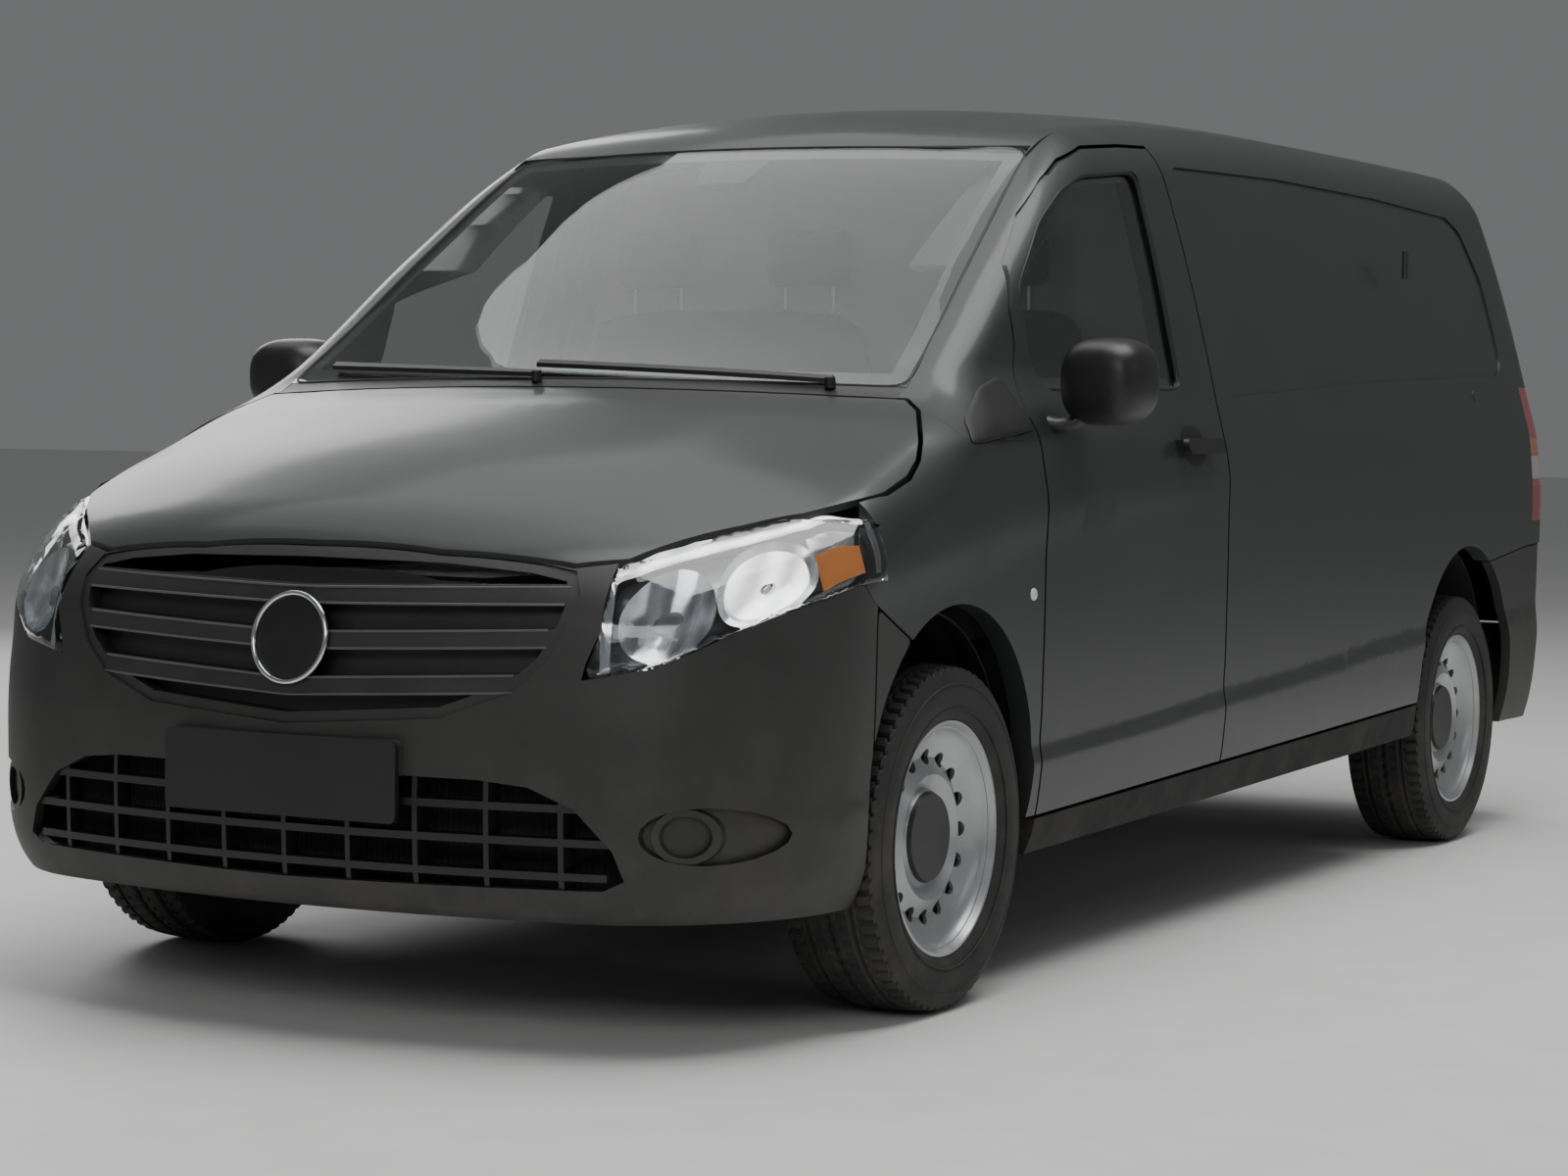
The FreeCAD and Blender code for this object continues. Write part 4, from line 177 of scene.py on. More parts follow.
@dataclass(frozen=True)
class BodyForm:
    """Outer skin of the body as one signed distance, with the same tables as the solids."""

    length: float = 4.895
    width: float = 1.928
    height: float = 1.905
    front_sweep: float = 0.190
    top_sweep: float = 0.200
    rear_sweep: float = 0.050
    greenhouse_taper: float = 0.092
    nose_corner: float = 0.300
    rear_corner: float = 0.100
    crease_rise: float = 0.009
    crease_width: float = 0.060
    ledge_rise: float = 0.008
    ledge_width: float = 0.045
    ray: float = 1.4
    step: float = 0.001
    side: Table = ((0.10, 0.905), (0.17, 0.968), (0.26, 0.990), (0.40, 0.997), (0.51, 0.998), (0.56, 0.988),
                   (0.62, 0.964), (0.68, 0.936), (0.79, 0.880), (0.89, 0.820), (1.00, 0.740), (1.20, 0.600))
    top: Table = ((-0.02, 0.430), (0.010, 0.465), (0.022, 0.480), (0.050, 0.520), (0.095, 0.569),
                  (0.150, 0.612), (0.185, 0.636), (0.205, 0.662), (0.280, 0.792), (0.345, 0.901),
                  (0.375, 0.942), (0.410, 0.967), (0.470, 0.985), (0.560, 0.996), (0.660, 1.000),
                  (0.780, 1.000), (0.900, 0.998), (1.02, 0.992))
    crown: Table = ((0.00, 0.036), (0.10, 0.036), (0.17, 0.020), (0.21, 0.004), (0.30, 0.006), (0.37, 0.016),
                    (0.42, 0.040), (0.50, 0.048), (1.02, 0.040))
    nose: Table = ((0.10, 0.0220), (0.135, 0.0065), (0.17, 0.0030), (0.23, 0.0020), (0.30, 0.0028),
                   (0.37, 0.0065), (0.43, 0.0112), (0.47, 0.0170), (0.50, 0.0240), (0.60, 0.0500),
                   (1.00, 0.1500))
    tail: Table = ((0.10, 0.0090), (0.20, 0.0005), (0.30, 0.0), (0.42, 0.0), (0.55, 0.0015), (0.70, 0.0060),
                   (0.85, 0.0120), (0.97, 0.0185), (1.10, 0.0270))
    crease: Table = ((0.19, 0.481), (0.255, 0.505), (0.40, 0.537), (0.53, 0.557), (0.67, 0.577), (1.0, 0.594))
    ledge: Table = ((0.19, 0.240), (0.35, 0.255), (0.47, 0.271), (0.60, 0.286), (0.72, 0.304), (1.0, 0.320))
    edge: Table = ((0.0, 0.045), (0.10, 0.052), (0.17, 0.050), (0.22, 0.030), (0.34, 0.034), (0.45, 0.060),
                   (1.0, 0.060))

    def along(self, y: Array) -> Array:
        """Share of the length from the nose at a station."""
        return (y + self.length / 2) / self.length

    def station(self, share: Array) -> Array:
        """Station at a share of the length from the nose."""
        return -self.length / 2 + self.length * share

    def half_width(self, y: Array, z: Array) -> Array:
        """Half the width at a station and height: the side's table, the cab's taper, the crease and the ledge."""
        share = z / self.height
        wide = self.width / 2 * smooth(self.side, share)
        forward = np.maximum((0.47 - self.along(y)) / 0.27, 0.0)
        wide = wide - self.greenhouse_taper * ease((share - 0.575) / 0.09) * forward ** 1.3
        rise = self.height * smooth(self.crease, self.along(y))
        wide = wide + self.crease_rise * (np.exp(-((z - rise) / self.crease_width) ** 2) - 1) / 2
        shelf = self.height * smooth(self.ledge, self.along(y))
        return wide + self.ledge_rise * (ease((shelf - z) / self.ledge_width + 0.5) - 1)

    def top_height(self, x: Array, y: Array) -> Array:
        """Height of the top over a place in plan: the profile, swept back and crowned across the width."""
        out = (x / (self.width / 2)) ** 2
        share = self.along(y - self.top_sweep * out)
        return self.height * smooth(self.top, share) - self.width * smooth(self.crown, share) * out

    def distance(self, p: Array) -> Array:
        """Signed distance to the skin, inside negative: side, nose, top and tail met in round corners."""
        x, y, z = np.abs(p[..., 0]), p[..., 1], p[..., 2]
        out = (x / (self.width / 2)) ** 2
        nose = self.station(smooth(self.nose, z / self.height)) + self.front_sweep * out
        tail = -self.station(smooth(self.tail, z / self.height)) - self.rear_sweep * out
        wall = rounded(x - self.half_width(y, z), nose - y, self.nose_corner)
        wall = rounded(wall, z - self.top_height(x, y), self.width * smooth(self.edge, self.along(y)))
        return rounded(wall, y - tail, self.rear_corner)

    def slope(self, p: Array) -> Array:
        """Gradient of the distance by central differences over a step each way."""
        return np.stack([self.distance(p + shift) - self.distance(p - shift)
                         for shift in self.step * np.eye(3)], axis=-1) / (2 * self.step)

    def normal(self, p: Array) -> Array:
        """Unit outward direction of the skin near each point."""
        return unit(self.slope(p))

    def settle(self, p: Array, depth: float, rounds: int = 6) -> Array:
        """Moves points along the gradient until they lie at a depth inside the skin.

        Args:
            p: Points near the skin.
            depth: Depth below the skin, negative to stand proud.
            rounds: Newton steps taken.

        Returns:
            The settled points.
        """
        for _ in range(rounds):
            slope = self.slope(p)
            miss = self.distance(p) + depth
            p = p - slope * (miss / np.maximum((slope * slope).sum(-1), 1e-9))[..., None]
        return p

    def crossing(self, start: Array, way: Array, depth: float = 0.0, sign: int = -1) -> Array:
        """Carries points in their directions on to the skin by halving the stretch that crosses it.

        Args:
            start: Points outside the body, or inside it for a sign of 1.
            way: Unit direction of each point.
            depth: Depth below the skin where the points come to rest.
            sign: -1 for the way in, 1 for the way out.

        Returns:
            The points on the skin.
        """
        steps = np.linspace(0.0, self.ray, 81)
        past = sign * (self.distance(start[..., None, :] + steps[:, None] * way[..., None, :]) + depth) > 0
        first = np.where(past.any(-1), past.argmax(-1), len(steps) - 1)
        low, high = steps[np.maximum(first - 1, 0)], steps[first]
        for _ in range(24):
            middle = (low + high) / 2
            past = sign * (self.distance(start + middle[..., None] * way) + depth) > 0
            low, high = np.where(past, low, middle), np.where(past, middle, high)
        return start + ((low + high) / 2)[..., None] * way

    def seen(self, view: View, plane: Array, depth: float = 0.0) -> Array:
        """Carries points of a flat view straight on to the skin; a side view is that of the left side.

        Args:
            view: The view.
            plane: Pairs of place along the view's level line and height.
            depth: Depth below the skin.

        Returns:
            The points on the skin.
        """
        axis, far = view.value
        start, way = np.empty((*plane.shape[:-1], 3)), np.zeros(3)
        start[..., axis], start[..., 1 - axis], start[..., 2] = far, plane[..., 0], plane[..., 1]
        way[axis] = -math.copysign(1.0, far)
        return self.crossing(start, np.broadcast_to(way, start.shape), depth)


FORM = BodyForm()


class Tree:
    """A node tree with short calls that add and join nodes."""

    def __init__(self, tree: bpy.types.NodeTree) -> None:
        """Keeps the tree, emptied of what it starts with."""
        self.tree = tree
        tree.nodes.clear()

    def join(self, node: bpy.types.Node, inputs: dict) -> None:
        """Sets a node's sockets or joins other nodes to them.

        Args:
            node: The node.
            inputs: Values or other nodes' outputs, by socket name or number.
        """
        for key, value in inputs.items():
            if isinstance(value, bpy.types.NodeSocket):
                self.tree.links.new(value, node.inputs[key])
            else:
                node.inputs[key].default_value = value

    def add(self, kind: str, inputs: Optional[dict] = None, **settings: object) -> bpy.types.Node:
        """Adds a shader node.

        Args:
            kind: The node's type name after its family's.
            inputs: What its sockets get, as in join.
            **settings: The node's own settings.

        Returns:
            The node.
        """
        node = self.tree.nodes.new("ShaderNode" + kind)
        for key, value in settings.items():
            setattr(node, key, value)
        self.join(node, inputs or {})
        return node

    def place(self) -> bpy.types.NodeSocket:
        """Object coordinates."""
        return self.add("TexCoord").outputs["Object"]

    def times(self, a: object, b: object) -> bpy.types.NodeSocket:
        """Product of two values."""
        return self.add("Math", {0: a, 1: b}, operation="MULTIPLY").outputs[0]

    def mix(self, factor: object, a: object, b: object) -> bpy.types.NodeSocket:
        """Two colours mixed by a factor."""
        return self.add("Mix", {0: factor, 6: a, 7: b}, data_type="RGBA").outputs[2]

    def blend(self, factor: object, a: object, b: object) -> bpy.types.NodeSocket:
        """Two values mixed by a factor."""
        return self.add("Mix", {0: factor, 2: a, 3: b}, data_type="FLOAT").outputs[0]

    def ramp(self, value: object, low: object, high: object, ends: Pair = (0.0, 1.0)) -> bpy.types.NodeSocket:
        """A value spread smoothly so that low gives the first end and high the second."""
        return self.add("MapRange", {0: value, 1: low, 2: high, 3: ends[0], 4: ends[1]},
                        interpolation_type="SMOOTHSTEP").outputs[0]

    def noise(self, scale: object, detail: float, rough: float = 0.5) -> bpy.types.NodeSocket:
        """Cloudy noise in Object coordinates."""
        return self.add("TexNoise", {"Vector": self.place(), "Scale": scale, "Detail": detail,
                                     "Roughness": rough}).outputs["Fac"]

    def wave(self, scale: object, way: str = "X", distortion: float = 0.0) -> bpy.types.NodeSocket:
        """Sine bands in Object coordinates across a direction."""
        return self.add("TexWave", {"Vector": self.place(), "Scale": scale, "Distortion": distortion},
                        bands_direction=way).outputs["Fac"]

    def bump(self, height: object, strength: float, distance: float) -> bpy.types.NodeSocket:
        """Normals bent by a height."""
        return self.add("Bump", {"Height": height, "Strength": strength, "Distance": distance}).outputs[0]


class Effects:
    """Node groups that several finishes share, each built once."""

    @staticmethod
    def start(name: str, inputs: dict[str, float], outputs: Sequence[str]) -> tuple[Tree, object, bpy.types.Node]:
        """Starts a group with named sockets.

        Args:
            name: The group's name.
            inputs: Value of each socket that goes in.
            outputs: Sockets that come out.

        Returns:
            Its tree, what comes in by name, and the node that takes what goes out.
        """
        group = bpy.data.node_groups.new(name, "ShaderNodeTree")
        for title, value in inputs.items():
            socket = group.interface.new_socket(title, in_out="INPUT", socket_type="NodeSocketFloat")
            socket.default_value = value
        for title in outputs:
            group.interface.new_socket(title, in_out="OUTPUT", socket_type="NodeSocketFloat")
        tree = Tree(group)
        return tree, group.nodes.new("NodeGroupInput").outputs, group.nodes.new("NodeGroupOutput")

    @staticmethod
    @cache
    def grain() -> bpy.types.NodeTree:
        """Moulded grain: a fine cellular height and a slow unevenness of tone."""
        tree, given, out = Effects.start("moulded_grain", {"Scale": 900.0, "Patch": 6.0}, ("Height", "Tone"))
        cells = tree.add("TexVoronoi", {"Vector": tree.place(), "Scale": given["Scale"]}, feature="SMOOTH_F1")
        tree.join(out, {"Height": cells.outputs["Distance"], "Tone": tree.noise(given["Patch"], 4.0, 0.6)})
        return tree.tree

    @staticmethod
    @cache
    def dust() -> bpy.types.NodeTree:
        """Road dust: a mask that fades upwards from the sills and gathers in patches."""
        tree, given, out = Effects.start("road_dust", {"Low": 0.25, "High": 0.75, "Amount": 0.3}, ("Mask",))
        height = tree.add("SeparateXYZ", {0: tree.place()}).outputs["Z"]
        fade = tree.ramp(height, given["Low"], given["High"], (1.0, 0.0))
        mask = tree.times(fade, tree.ramp(tree.noise(9.0, 6.0, 0.65), 0.35, 0.75))
        tree.join(out, {"Mask": tree.times(mask, given["Amount"])})
        return tree.tree

    @staticmethod
    @cache
    def weave() -> bpy.types.NodeTree:
        """Woven cloth: two crossed sine bands as a height, and a tone."""
        tree, given, out = Effects.start("seat_weave", {"Scale": 420.0}, ("Height", "Tone"))
        warp, weft = (tree.wave(given["Scale"], way, 0.6) for way in ("X", "DIAGONAL"))
        tree.join(out, {"Height": tree.times(warp, weft), "Tone": tree.noise(40.0, 5.0)})
        return tree.tree


def shade(colour: Colour, share: float = 1.0) -> tuple[float, ...]:
    """A colour lightened or darkened by a share, with full cover."""
    return (*(min(c * share, 1.0) for c in colour), 1.0)


@dataclass(frozen=True)
class Finish:
    """A finish of one colour: its name, tone, gloss and grain; each kind adds its own nodes.

    Attributes:
        name: The material's name.
        colour: Base colour, linear.
        slot: Material slot of the record for its pieces; not used.
        rough: Roughness of the clean surface.
        metal: Metallic share.
        coat: Weight of the clear coat.
        coat_rough: Roughness of the clear coat.
        grain: Cells per metre of the moulded grain, none for 0.
        depth: Height of the grain in metres.
        uneven: Share by which tone and gloss wander.
        dust: Amount of road dust at the sills.
        dust_colour: Colour of the dust.
        level: Specular level.
    """

    name: str
    colour: Colour
    slot: str = ""
    rough: float = 0.5
    metal: float = 0.0
    coat: float = 0.0
    coat_rough: float = 0.08
    grain: float = 0.0
    depth: float = 0.0002
    uneven: float = 0.15
    dust: float = 0.0
    dust_colour: Colour = (0.30, 0.27, 0.23)
    level: float = 0.5

    def build(self) -> bpy.types.Material:
        """Makes the material, or finds it where it is made.

        Returns:
            The material.
        """
        found = bpy.data.materials.get(self.name)
        if found:
            return found
        material = bpy.data.materials.new(self.name)
        material.use_nodes = True
        tree = Tree(material.node_tree)
        shader = tree.add("BsdfPrincipled")
        tree.add("OutputMaterial", {0: shader.outputs[0]})
        tree.join(shader, self.sockets(tree))
        return material

    def sockets(self, tree: Tree) -> dict:
        """What the shader's sockets get: tone, gloss, grain and dust.

        Args:
            tree: The material's tree.

        Returns:
            Values and outputs by socket name.
        """
        grain = tree.add("Group", {"Scale": self.grain or 400.0}, node_tree=Effects.grain()).outputs
        tone, sway = tree.ramp(grain["Tone"], 0.3, 0.7), self.uneven * 0.4
        base = tree.mix(tone, shade(self.colour, 1 - self.uneven), shade(self.colour, 1 + self.uneven))
        gloss = tree.blend(tone, self.rough * (1 - sway), min(self.rough * (1 + sway), 1.0))
        if self.dust:
            mask = tree.add("Group", {"Amount": self.dust}, node_tree=Effects.dust()).outputs["Mask"]
            base, gloss = tree.mix(mask, base, shade(self.dust_colour)), tree.blend(mask, gloss, 0.9)
        found = {"Metallic": self.metal, "Specular IOR Level": self.level, "Coat Weight": self.coat,
                 "Coat Roughness": self.coat_rough, "Base Color": base, "Roughness": gloss}
        if self.grain:
            found["Normal"] = tree.bump(grain["Height"], 0.5, self.depth)
        return found


@dataclass(frozen=True)
class ClothFinish(Finish):
    """Woven seat cloth with sheen."""

    def sockets(self, tree: Tree) -> dict:
        """What the shader's sockets get: the cloth's tone, sheen and weave.

        Args:
            tree: The material's tree.

        Returns:
            Values and outputs by socket name.
        """
        weave = tree.add("Group", node_tree=Effects.weave()).outputs
        tone = tree.ramp(weave["Tone"], 0.35, 0.65)
        return {"Base Color": tree.mix(tone, shade(self.colour, 0.8), shade(self.colour, 1.25)),
                "Roughness": tree.blend(tone, 0.82, 0.95), "Sheen Weight": 0.35,
                "Normal": tree.bump(weave["Height"], 0.6, 0.0006)}


@dataclass(frozen=True)
class GlassFinish(Finish):
    """Clear or tinted glass, with plain transmission."""

    ior: float = 1.45

    def sockets(self, tree: Tree) -> dict:
        """What the shader's sockets get: the glass's tint, gloss and transmission.

        Args:
            tree: The material's tree.

        Returns:
            Values and outputs by socket name.
        """
        tone = tree.ramp(tree.add("Group", node_tree=Effects.grain()).outputs["Tone"], 0.3, 0.7)
        return {"Roughness": tree.blend(tone, self.rough, self.rough * 1.6), "Base Color": shade(self.colour),
                "Metallic": 0.0, "Transmission Weight": 1.0, "IOR": self.ior}


@dataclass(frozen=True)
class LampRedFinish(Finish):
    """Red tail lamp moulding with an amber and a clear band and fine upright ribs."""

    clear: Pair = (0.985, 1.055)
    amber: Pair = (1.055, 1.105)
    fade: float = 0.005

    def band(self, tree: Tree, z: bpy.types.NodeSocket, ends: Pair) -> bpy.types.NodeSocket:
        """Mask of a band of heights that fades at both ends."""
        low, high = ends
        return tree.times(tree.ramp(z, low, low + self.fade), tree.ramp(z, high, high - self.fade))

    def sockets(self, tree: Tree) -> dict:
        """What the shader's sockets get: the bands by height, and the ribs as a bump.

        Args:
            tree: The material's tree.

        Returns:
            Values and outputs by socket name.
        """
        z = tree.add("SeparateXYZ", {0: tree.place()}).outputs["Z"]
        base = tree.mix(self.band(tree, z, self.clear), shade(self.colour), shade((0.42, 0.40, 0.38)))
        base = tree.mix(self.band(tree, z, self.amber), base, shade((0.42, 0.12, 0.01)))
        ribs = tree.wave(55.0, "Z")
        return {"Base Color": tree.mix(tree.times(ribs, 0.5), base, shade((0.05, 0.004, 0.004))),
                "Roughness": tree.blend(ribs, self.rough, self.rough * 2), "Coat Weight": 1.0,
                "Coat Roughness": 0.03, "Normal": tree.bump(ribs, 0.25, 0.0008)}


@dataclass(frozen=True)
class ReflectorFinish(Finish):
    """Bright lamp reflector with upright flutes, lit where it glows.

    Attributes:
        glow: Strength of the lit look.
        warm: Colour of the light.
        flutes: Flutes per metre, across.
    """

    glow: float = 0.0
    warm: Colour = (1.0, 0.98, 0.94)
    flutes: float = 9.0

    def sockets(self, tree: Tree) -> dict:
        """What the shader's sockets get: the mirror metal, its flutes and its light.

        Args:
            tree: The material's tree.

        Returns:
            Values and outputs by socket name.
        """
        flutes = tree.wave(self.flutes, "X", 0.4)
        facets = tree.add("TexVoronoi", {"Vector": tree.place(), "Scale": 45.0}).outputs["Distance"]
        found = {"Base Color": tree.mix(flutes, shade(self.colour, 0.75), shade(self.colour)),
                 "Roughness": tree.blend(flutes, self.rough, self.rough * 2), "Metallic": self.metal,
                 "Normal": tree.bump(tree.blend(0.4, flutes, facets), 0.3, 0.0012)}
        if self.glow:
            found["Emission Color"] = tree.mix(flutes, shade(self.warm, 0.45), shade(self.warm))
            found["Emission Strength"] = self.glow
        return found


PAINT = Finish("green_grey_paint", (0.021, 0.025, 0.023), "body_paint", rough=0.45, coat=0.30, coat_rough=0.14,
               uneven=0.07, dust=0.03, level=0.40)
INNER_PAINT = Finish("inner_paint", (0.10, 0.105, 0.10), uneven=0.12)
GREY_PLASTIC = Finish("grey_moulding", (0.026, 0.026, 0.025), "grey_plastic", grain=900.0, dust=0.08)
BLACK_PLASTIC = Finish("black_moulding", (0.012, 0.012, 0.012), "black_plastic", rough=0.42, grain=900.0,
                       depth=0.0001)
GRILLE_BLACK = replace(BLACK_PLASTIC, slot="grey_plastic")
CAP_BLACK = replace(BLACK_PLASTIC, slot="wheel_steel")
DARK_MESH = Finish("dark_mesh", (0.010, 0.010, 0.010), "engine_metal", rough=0.75, grain=250.0, depth=0.001)
SOFT_PLASTIC = Finish("trim_moulding", (0.085, 0.085, 0.083), "soft_plastic", rough=0.7, grain=1200.0,
                      depth=0.0003)
BULKHEAD_PAINT = Finish("load_wall_paint", (0.48, 0.48, 0.47), rough=0.6, uneven=0.08)
UNDERBODY = Finish("underbody_coating", (0.016, 0.016, 0.016), rough=0.85, grain=420.0, depth=0.0004, dust=0.10)
ENGINE_METAL = Finish("cast_alloy", (0.25, 0.25, 0.24), metal=0.8, grain=500.0)
TYRE_RUBBER = Finish("tyre_compound", (0.018, 0.018, 0.018), "tyre_rubber", rough=0.72, grain=700.0,
                     depth=0.0003, dust=0.12)
SEAL_RUBBER = Finish("seal_rubber", (0.008, 0.008, 0.008), "black_plastic", rough=0.6, uneven=0.1)
WHEEL_STEEL = Finish("silver_wheel_paint", (0.42, 0.43, 0.44), "wheel_steel", rough=0.34, metal=0.75, coat=0.3,
                     uneven=0.08, dust=0.25)
BRIGHT_METAL = Finish("bright_metal", (0.72, 0.73, 0.74), "wheel_steel", rough=0.12, metal=1.0, uneven=0.08)
LAMP_METAL = replace(BRIGHT_METAL, slot="lamp_clear")
MIRROR_GLASS = Finish("mirror_glass", (0.75, 0.77, 0.78), "window_glass", rough=0.03, metal=1.0, uneven=0.05)
DARK_STEEL = Finish("dark_steel", (0.09, 0.088, 0.085), metal=0.7)
AMBER_LENS = Finish("amber_lens", (0.75, 0.24, 0.03), "lamp_clear", rough=0.18, coat=1.0, coat_rough=0.03,
                    uneven=0.1)
WINDOW_GLASS = GlassFinish("tinted_window", (0.76, 0.81, 0.78), "window_glass", rough=0.0)
LAMP_GLASS = GlassFinish("lamp_lens", (0.96, 0.97, 0.98), "lamp_clear", rough=0.0)
FRIT = Finish("glass_border", (0.006, 0.006, 0.006), "black_plastic", rough=0.12, coat=0.5, uneven=0.05)
CLOTH = ClothFinish("woven_cloth", (0.030, 0.031, 0.034), "seat_cloth")
TAIL_RED = LampRedFinish("tail_lamp_red", (0.30, 0.008, 0.008), "lamp_red", rough=0.16)
REFLECTOR = ReflectorFinish("lamp_reflector", (0.70, 0.72, 0.74), "lamp_clear", rough=0.14, metal=1.0)
LIT = ReflectorFinish("lit_reflector", (0.90, 0.92, 0.94), "lamp_clear", rough=0.2, metal=0.6, glow=2.2,
                      flutes=7.0)
DAYLIGHT = ReflectorFinish("daylight_strip", (0.92, 0.94, 0.96), "lamp_clear", rough=0.2, metal=0.4, glow=1.3,
                           flutes=5.0)
LAMP_TRAY = Finish("lamp_tray", (0.20, 0.205, 0.21), "lamp_clear", rough=0.32, metal=0.8)
CLEAR_CAP = Finish("clear_cap", (0.66, 0.66, 0.64), "lamp_clear", rough=0.16, coat=1.0, coat_rough=0.03,
                   uneven=0.08)
# Satin grey much lighter than the grille plastic: painted highlight on the louvre edge ridges.
LOUVRE_RIDGE_HIGHLIGHT = Finish("louvre_edge", (0.085, 0.087, 0.086), "grey_plastic", rough=0.34, uneven=0.08)


def mesh_object(name: str, points: Array, faces: Sequence, finish: Finish, body: str = "body",
                sharp: float = 35.0) -> bpy.types.Object:
    """Puts points and faces into a new piece that rides on a body.

    Args:
        name: The piece's name.
        points: Places of its vertices, in metres.
        faces: Vertex numbers of each face, outwards by the right hand.
        finish: Its finish.
        body: Body that carries it.
        sharp: Angle in degrees past which an edge stays hard.

    Returns:
        The piece.
    """
    mesh = bpy.data.meshes.new(name)
    mesh.from_pydata(np.asarray(points, float).reshape(-1, 3).tolist(), [], [list(map(int, f)) for f in faces])
    mesh.polygons.foreach_set("use_smooth", np.ones(len(mesh.polygons), bool))
    mesh.set_sharp_from_angle(angle=math.radians(sharp))
    mesh.materials.append(finish.build())
    piece = bpy.data.objects.new(name, mesh)
    bpy.context.scene.collection.objects.link(piece)
    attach(piece, body)
    LOG.info("piece %s on %s", name, body)
    return piece


def grid_faces(rows: int, columns: int, wrap_rows: bool = False, wrap_columns: bool = False) -> Array:
    """Four-cornered faces of a grid of points, numbered row by row.

    Args:
        rows: Rows of points.
        columns: Points in a row.
        wrap_rows: Whether the last row joins the first.
        wrap_columns: Whether a row's last point joins its first.

    Returns:
        One row of four numbers for each face.
    """
    i, j = spread(np.arange(rows if wrap_rows else rows - 1), np.arange(columns if wrap_columns else columns - 1))
    up, on = (i + 1) % rows, (j + 1) % columns
    quads = np.stack([i * columns + j, i * columns + on, up * columns + on, up * columns + j], axis=-1)
    return quads.reshape(-1, 4)


def turned_out(points: Array, faces: Array) -> Array:
    """Reverses a closed mesh's faces where its signed volume is negative."""
    a, b, c, d = (points[faces[:, k]] for k in range(4))
    volume = (np.cross(a, b) * c).sum() + (np.cross(a, c) * d).sum()
    return faces[:, ::-1] if volume < 0 else faces


def closed_grid(name: str, grid: Array, finish: Finish, body: str = "body", sharp: float = 35.0,
                both: bool = False) -> bpy.types.Object:
    """A closed piece from rings of points: each ring wraps, and the ends are closed by their middles.

    Args:
        name: The piece's name.
        grid: Points by ring and place on the ring.
        finish: Its finish.
        body: Body that carries it.
        sharp: Angle past which an edge stays hard.
        both: Whether the rings wrap round too, as on a hoop.

    Returns:
        The piece.
    """
    rows, columns = grid.shape[:2]
    points = grid.reshape(-1, 3)
    faces = grid_faces(rows, columns, both, True)
    if both:
        return mesh_object(name, points, turned_out(points, faces), finish, body, sharp)
    points = np.concatenate([points, grid[0].mean(0)[None], grid[-1].mean(0)[None]])
    ring = np.arange(columns)
    on, top = (ring + 1) % columns, (rows - 1) * columns
    ends = [np.stack([np.full(columns, rows * columns), on, ring, ring], axis=-1),
            np.stack([top + ring, top + on, *[np.full(columns, rows * columns + 1)] * 2], axis=-1)]
    faces = turned_out(points, np.concatenate([faces, *ends]))
    return mesh_object(name, points, [list(dict.fromkeys(f)) for f in faces.tolist()], finish, body, sharp)


def slab(name: str, front: Array, back: Array, finish: Finish) -> bpy.types.Object:
    """A closed sheet of some thickness: two open grids and a rim between them.

    Args:
        name: The piece's name.
        front: Points of its face by row and column.
        back: Points of its back.
        finish: Its finish.

    Returns:
        The piece.
    """
    rows, columns = front.shape[:2]
    count = rows * columns
    points = np.concatenate([front.reshape(-1, 3), back.reshape(-1, 3)])
    faces = grid_faces(rows, columns)
    edge = np.concatenate([np.arange(columns - 1), np.arange(rows - 1) * columns + columns - 1,
                           count - 1 - np.arange(columns - 1), np.arange(rows - 1, 0, -1) * columns])
    on = np.roll(edge, -1)
    rim = np.stack([on, edge, edge + count, on + count], axis=-1)
    faces = turned_out(points, np.concatenate([faces, faces[:, ::-1] + count, rim]))
    return mesh_object(name, points, faces, finish)


def tube(name: str, path: Array, radius: object, finish: Finish, body: str = "body", flat: float = 1.0,
         around: int = 14, closed: bool = False) -> bpy.types.Object:
    """A round or oval bar along a path: rings square to the path, in a frame set by an axis it never follows.

    Args:
        name: The piece's name.
        path: Points of its middle line.
        radius: Radius, or one for each point.
        finish: Its finish.
        body: Body that carries it.
        flat: Height of the oval as a share of its width.
        around: Points in a ring.
        closed: Whether the path is a hoop.

    Returns:
        The piece.
    """
    way = unit(np.roll(path, -1, 0) - np.roll(path, 1, 0) if closed else np.gradient(path, axis=0))
    steep = np.abs(way[:, 2])
    axis = 1 if steep.mean() > 0.8 else 0 if steep.max() > 1 - 1e-9 else 2
    across = unit(np.cross(way, np.eye(3)[axis]))
    rise = np.cross(across, way)
    c, s = circle(around).T[..., None]
    radius = np.broadcast_to(radius, len(path))[:, None, None]
    rings = path[:, None] + radius * (c * across[:, None] + flat * s * rise[:, None])
    return closed_grid(name, rings, finish, body, both=closed)


def read(items: Sequence, attribute: str, kind: type = np.float32) -> Array:
    """Rows of three numbers from a mesh's vertices, corners or triangles."""
    rows = np.empty(len(items) * 3, kind)
    items.foreach_get(attribute, rows)
    return rows.reshape(-1, 3)


